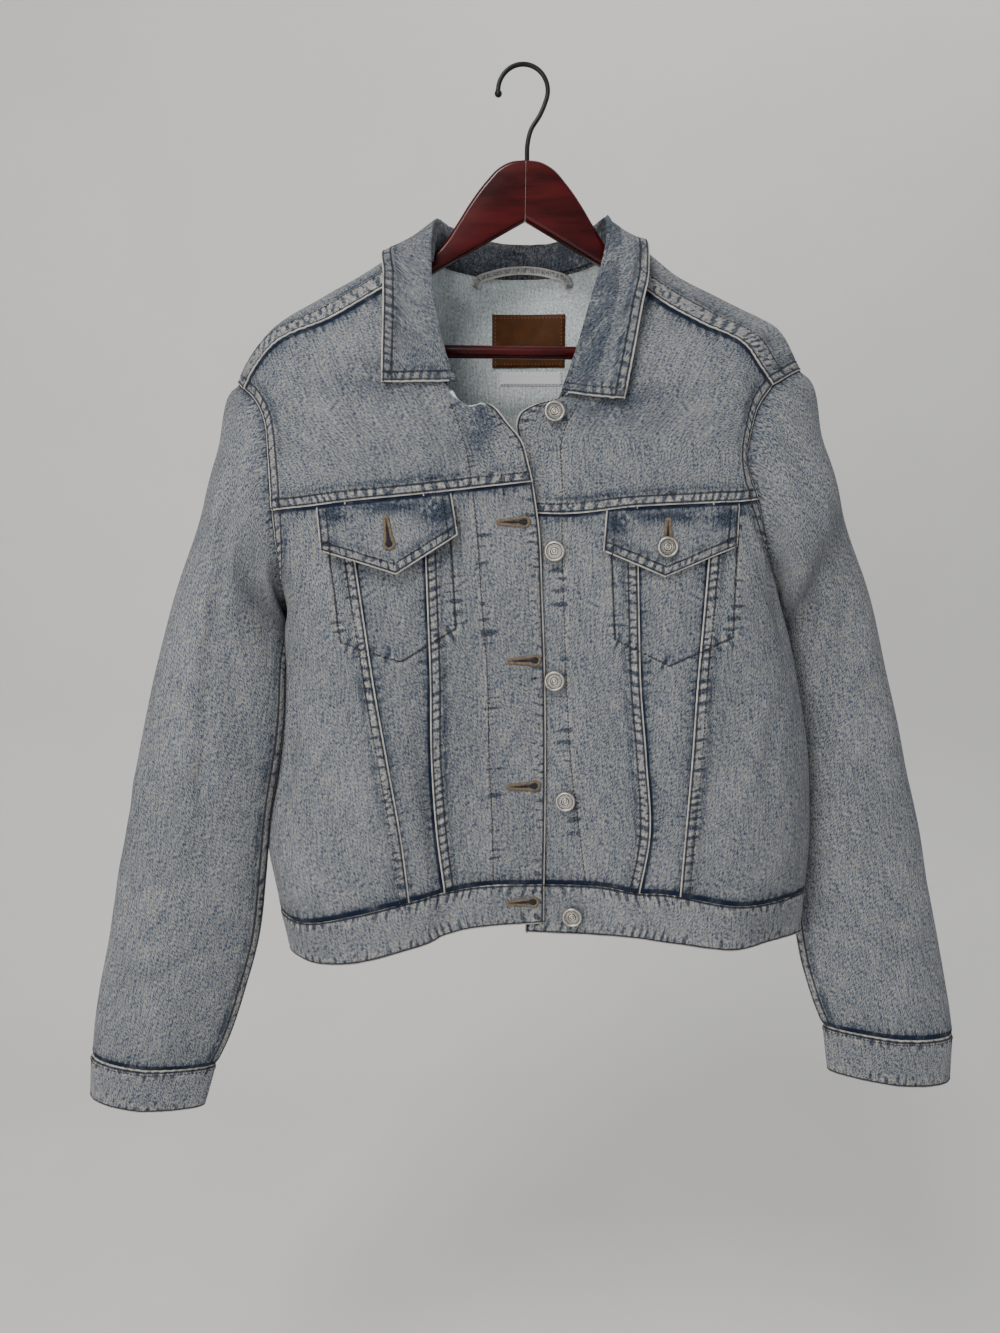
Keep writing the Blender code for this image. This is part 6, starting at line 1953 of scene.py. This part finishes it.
def build_stage():
    """A pale floor that curves up behind, soft studio lights and the camera."""
    stage = bpy.context.scene.jacket_stage
    low, back = -1.45, 1.5
    bend = [(back - 0.6 + 0.6 * math.sin(a), low + 0.6 - 0.6 * math.cos(a))
            for a in np.linspace(0, math.pi / 2, 16)]
    profile = [(-4.0, low), (back - 1.2, low)] + bend + [(back, 3.5)]
    points = [(x, y, z) for x in (-4.5, 4.5) for y, z in profile]
    count = len(profile)
    faces = [(i, i + count, i + count + 1, i + 1) for i in range(count - 1)]
    mesh = bpy.data.meshes.new("pale_floor")
    mesh.from_pydata(points, [], faces)
    mesh.shade_smooth()
    floor = bpy.data.objects.new("pale_floor", mesh)
    bpy.context.scene.collection.objects.link(floor)
    mesh.materials.append(plain_finish("pale floor", stage.floor[:], 0.85, 0.02, 3.0, 0.0))
    world = bpy.data.worlds.new("soft room")
    world.use_nodes = True
    shade = world.node_tree.nodes["Background"]
    shade.inputs["Color"].default_value = (0.9, 0.93, 1.0, 1)
    shade.inputs["Strength"].default_value = stage.room_light
    bpy.context.scene.world = world
    for name, place, size, power, tint in LIGHTS:
        light = bpy.data.lights.new(name, "AREA")
        light.shape = "RECTANGLE"
        light.size, light.size_y = size
        light.energy = power * stage.light_strength
        light.color = tint
        lamp = bpy.data.objects.new(name, light)
        lamp.location = place
        way = Vector((0, 0, -0.45)) - Vector(place)
        lamp.rotation_euler = way.to_track_quat("-Z", "Y").to_euler()
        bpy.context.scene.collection.objects.link(lamp)
    camera = bpy.data.cameras.new("front_view")
    camera.sensor_fit = "VERTICAL"
    camera.sensor_height = 34.62
    camera.lens = 26.0
    camera.clip_start = 0.05
    shot = bpy.data.objects.new("front_camera", camera)
    shot.location = (-0.0224, -0.88, -0.376)
    shot.rotation_euler = (math.radians(90 - 7.8), 0, 0)
    bpy.context.scene.collection.objects.link(shot)
    bpy.context.scene.camera = shot


LIGHTS = (
    ("high_key", (-0.75, -1.5, 1.35), (0.75, 0.75), 42.0, (1.0, 0.975, 0.94)),
    ("low_wide_fill", (-1.6, -2.4, -0.35), (2.2, 1.6), 40.0, (1.0, 0.98, 0.96)),
    ("fill_from_the_right", (2.2, -1.6, 0.1), (1.6, 1.8), 8.0, (0.93, 0.96, 1.0)),
    ("glow_from_behind", (0.6, 1.2, 1.6), (1.8, 1.4), 26.0, (1.0, 0.98, 0.95)),
)


class JacketSeams(bpy.types.PropertyGroup):
    """Sizes of the seams, their waves and their stitches."""

    band_width: bpy.props.FloatProperty(
        name="Band width", description="Width of a lapped seam's doubled band",
        default=0.0105, min=0.004, max=0.02, unit="LENGTH")
    lap_rise: bpy.props.FloatProperty(
        name="Lap rise", description="How far a lapped edge stands over its neighbour",
        default=0.0009, min=0.0, max=0.003, unit="LENGTH")
    pucker_depth: bpy.props.FloatProperty(
        name="Pucker depth", description="Height of the waves that washing draws into seams",
        default=0.0007, min=0.0, max=0.002, unit="LENGTH")
    pucker_spacing: bpy.props.FloatProperty(
        name="Pucker spacing", description="Length of one wave along a seam",
        default=0.0072, min=0.003, max=0.02, unit="LENGTH")
    stitch_near: bpy.props.FloatProperty(
        name="Edge stitching", description="Distance of the first row from the edge",
        default=0.0018, min=0.001, max=0.006, unit="LENGTH")
    stitch_far: bpy.props.FloatProperty(
        name="Second row", description="Distance of the second row from the edge",
        default=0.0082, min=0.004, max=0.014, unit="LENGTH")
    stitch_pitch: bpy.props.FloatProperty(
        name="Stitch pitch", description="Distance from one stitch to the next",
        default=0.0031, min=0.002, max=0.006, unit="LENGTH")
    stitch_length: bpy.props.FloatProperty(
        name="Stitch length", description="Length of the thread that shows in one stitch",
        default=0.0026, min=0.001, max=0.006, unit="LENGTH")
    stitch_width: bpy.props.FloatProperty(
        name="Thread width", description="Thickness of the topstitching thread",
        default=0.00115, min=0.0003, max=0.0015, unit="LENGTH")


def colour_property(name, description, default):
    return bpy.props.FloatVectorProperty(name=name, description=description, default=default,
                                         size=3, min=0.0, max=1.0, subtype="COLOR")


class JacketColours(bpy.types.PropertyGroup):
    """Colours of the cloth, thread, leather and wood."""

    denim: colour_property("Denim", "Light threads of the washed cloth", (0.262, 0.262, 0.248))
    indigo: colour_property("Indigo", "Dark threads of the washed cloth", (0.028, 0.047, 0.082))
    faded: colour_property("Faded", "Light threads of the most faded patches", (0.345, 0.328, 0.29))
    worn: colour_property("Worn", "Ridges and edges worn almost white", (0.56, 0.53, 0.465))
    # Deep is also the colour of painted shade: the gutters beside under-edges, the stitch rows and
    # the shaded patches.
    deep: colour_property("Deep", "Unfaded dye beside the seams", (0.006, 0.011, 0.026))
    inside: colour_property("Inside", "The cloth's inner side", (0.5, 0.55, 0.555))
    thread: colour_property("Thread", "Topstitching", (0.022, 0.018, 0.017))
    tan: colour_property("Buttonhole thread", "Thread of the buttonholes", (0.17, 0.128, 0.085))
    leather: colour_property("Leather", "The patch at the neck", (0.06, 0.02, 0.003))
    wood: colour_property("Wood", "The hanger's lacquered arms", (0.04, 0.0009, 0.0011))


class JacketStage(bpy.types.PropertyGroup):
    """The floor and the light."""

    floor: colour_property("Floor", "Colour of the floor and the wall behind", (0.72, 0.71, 0.69))
    room_light: bpy.props.FloatProperty(
        name="Room light", description="Strength of the even light from all round",
        default=0.4, min=0.0, max=5.0)
    light_strength: bpy.props.FloatProperty(
        name="Light strength", description="Multiplies all studio lights",
        default=1.0, min=0.0, max=10.0, subtype="FACTOR")



class JACKET_OT_fronts(bpy.types.Operator):
    """Build both fronts: yokes, three panels each and their waistbands"""

    bl_idname = "jacket.fronts"
    bl_label = "Fronts"

    def execute(self, context):
        build_front("r")
        build_front("l")
        return {"FINISHED"}


class JACKET_OT_back(bpy.types.Operator):
    """Build the back yoke, the back and its waistband"""

    bl_idname = "jacket.back"
    bl_label = "Back"

    def execute(self, context):
        build_back()
        return {"FINISHED"}


class JACKET_OT_sleeves(bpy.types.Operator):
    """Build both sleeves in two halves, and their cuffs"""

    bl_idname = "jacket.sleeves"
    bl_label = "Sleeves and cuffs"

    def execute(self, context):
        build_sleeve("r")
        build_sleeve("l")
        return {"FINISHED"}


class JACKET_OT_collar(bpy.types.Operator):
    """Build the folded collar"""

    bl_idname = "jacket.collar"
    bl_label = "Collar"

    def execute(self, context):
        build_collar()
        return {"FINISHED"}


class JACKET_OT_pockets(bpy.types.Operator):
    """Build the pocket flaps and the bags behind them"""

    bl_idname = "jacket.pockets"
    bl_label = "Pockets"

    def execute(self, context):
        build_pockets()
        return {"FINISHED"}


class JACKET_OT_inside(bpy.types.Operator):
    """Build the leather patch, the size label and the hanging loop"""

    bl_idname = "jacket.inside"
    bl_label = "Patch, label and loop"

    def execute(self, context):
        build_inside()
        return {"FINISHED"}


class JACKET_OT_stitching(bpy.types.Operator):
    """Lay rows of stitches along every seam and edge"""

    bl_idname = "jacket.stitching"
    bl_label = "Stitching"

    def execute(self, context):
        build_stitching()
        return {"FINISHED"}


class JACKET_OT_buttonholes(bpy.types.Operator):
    """Work the buttonholes of the placket, the band and the flaps"""

    bl_idname = "jacket.buttonholes"
    bl_label = "Buttonholes"

    def execute(self, context):
        build_buttonholes()
        return {"FINISHED"}


class JACKET_OT_buttons(bpy.types.Operator):
    """Turn the shank buttons"""

    bl_idname = "jacket.buttons"
    bl_label = "Buttons"

    def execute(self, context):
        build_buttons()
        return {"FINISHED"}


class JACKET_OT_hanger(bpy.types.Operator):
    """Build the hanger's arms, bar and hook"""

    bl_idname = "jacket.hanger"
    bl_label = "Hanger"

    def execute(self, context):
        build_hanger()
        return {"FINISHED"}


class JACKET_OT_stage(bpy.types.Operator):
    """Set the floor, the lights and the camera"""

    bl_idname = "jacket.stage"
    bl_label = "Stage"

    def execute(self, context):
        build_stage()
        return {"FINISHED"}


STEPS = (JACKET_OT_stage, JACKET_OT_fronts, JACKET_OT_back, JACKET_OT_sleeves,
         JACKET_OT_collar, JACKET_OT_pockets, JACKET_OT_inside, JACKET_OT_stitching,
         JACKET_OT_buttonholes, JACKET_OT_buttons, JACKET_OT_hanger)


class JACKET_PT_panel(bpy.types.Panel):
    """The jacket's sizes, colours and building steps"""

    bl_idname = "JACKET_PT_panel"
    bl_label = "Denim jacket"
    bl_space_type = "VIEW_3D"
    bl_region_type = "UI"
    bl_category = "Jacket"

    def draw(self, context):
        for group in ("jacket_seams", "jacket_colours", "jacket_stage"):
            box = self.layout.box()
            owner = getattr(context.scene, group)
            for name in owner.__annotations__:
                box.prop(owner, name)
        for step in STEPS:
            self.layout.operator(step.bl_idname)


GROUPS = (("jacket_seams", JacketSeams), ("jacket_colours", JacketColours),
          ("jacket_stage", JacketStage))


def register():
    for name, group in GROUPS:
        bpy.utils.register_class(group)
        setattr(bpy.types.Scene, name, bpy.props.PointerProperty(type=group))
    for step in STEPS + (JACKET_PT_panel,):
        bpy.utils.register_class(step)


def unregister():
    for step in (JACKET_PT_panel,) + STEPS[::-1]:
        bpy.utils.unregister_class(step)
    for name, group in GROUPS[::-1]:
        delattr(bpy.types.Scene, name)
        bpy.utils.unregister_class(group)


def main():
    register()
    for step in STEPS:
        group, action = step.bl_idname.split(".")
        getattr(getattr(bpy.ops, group), action)()


if __name__ == "__main__":
    main()
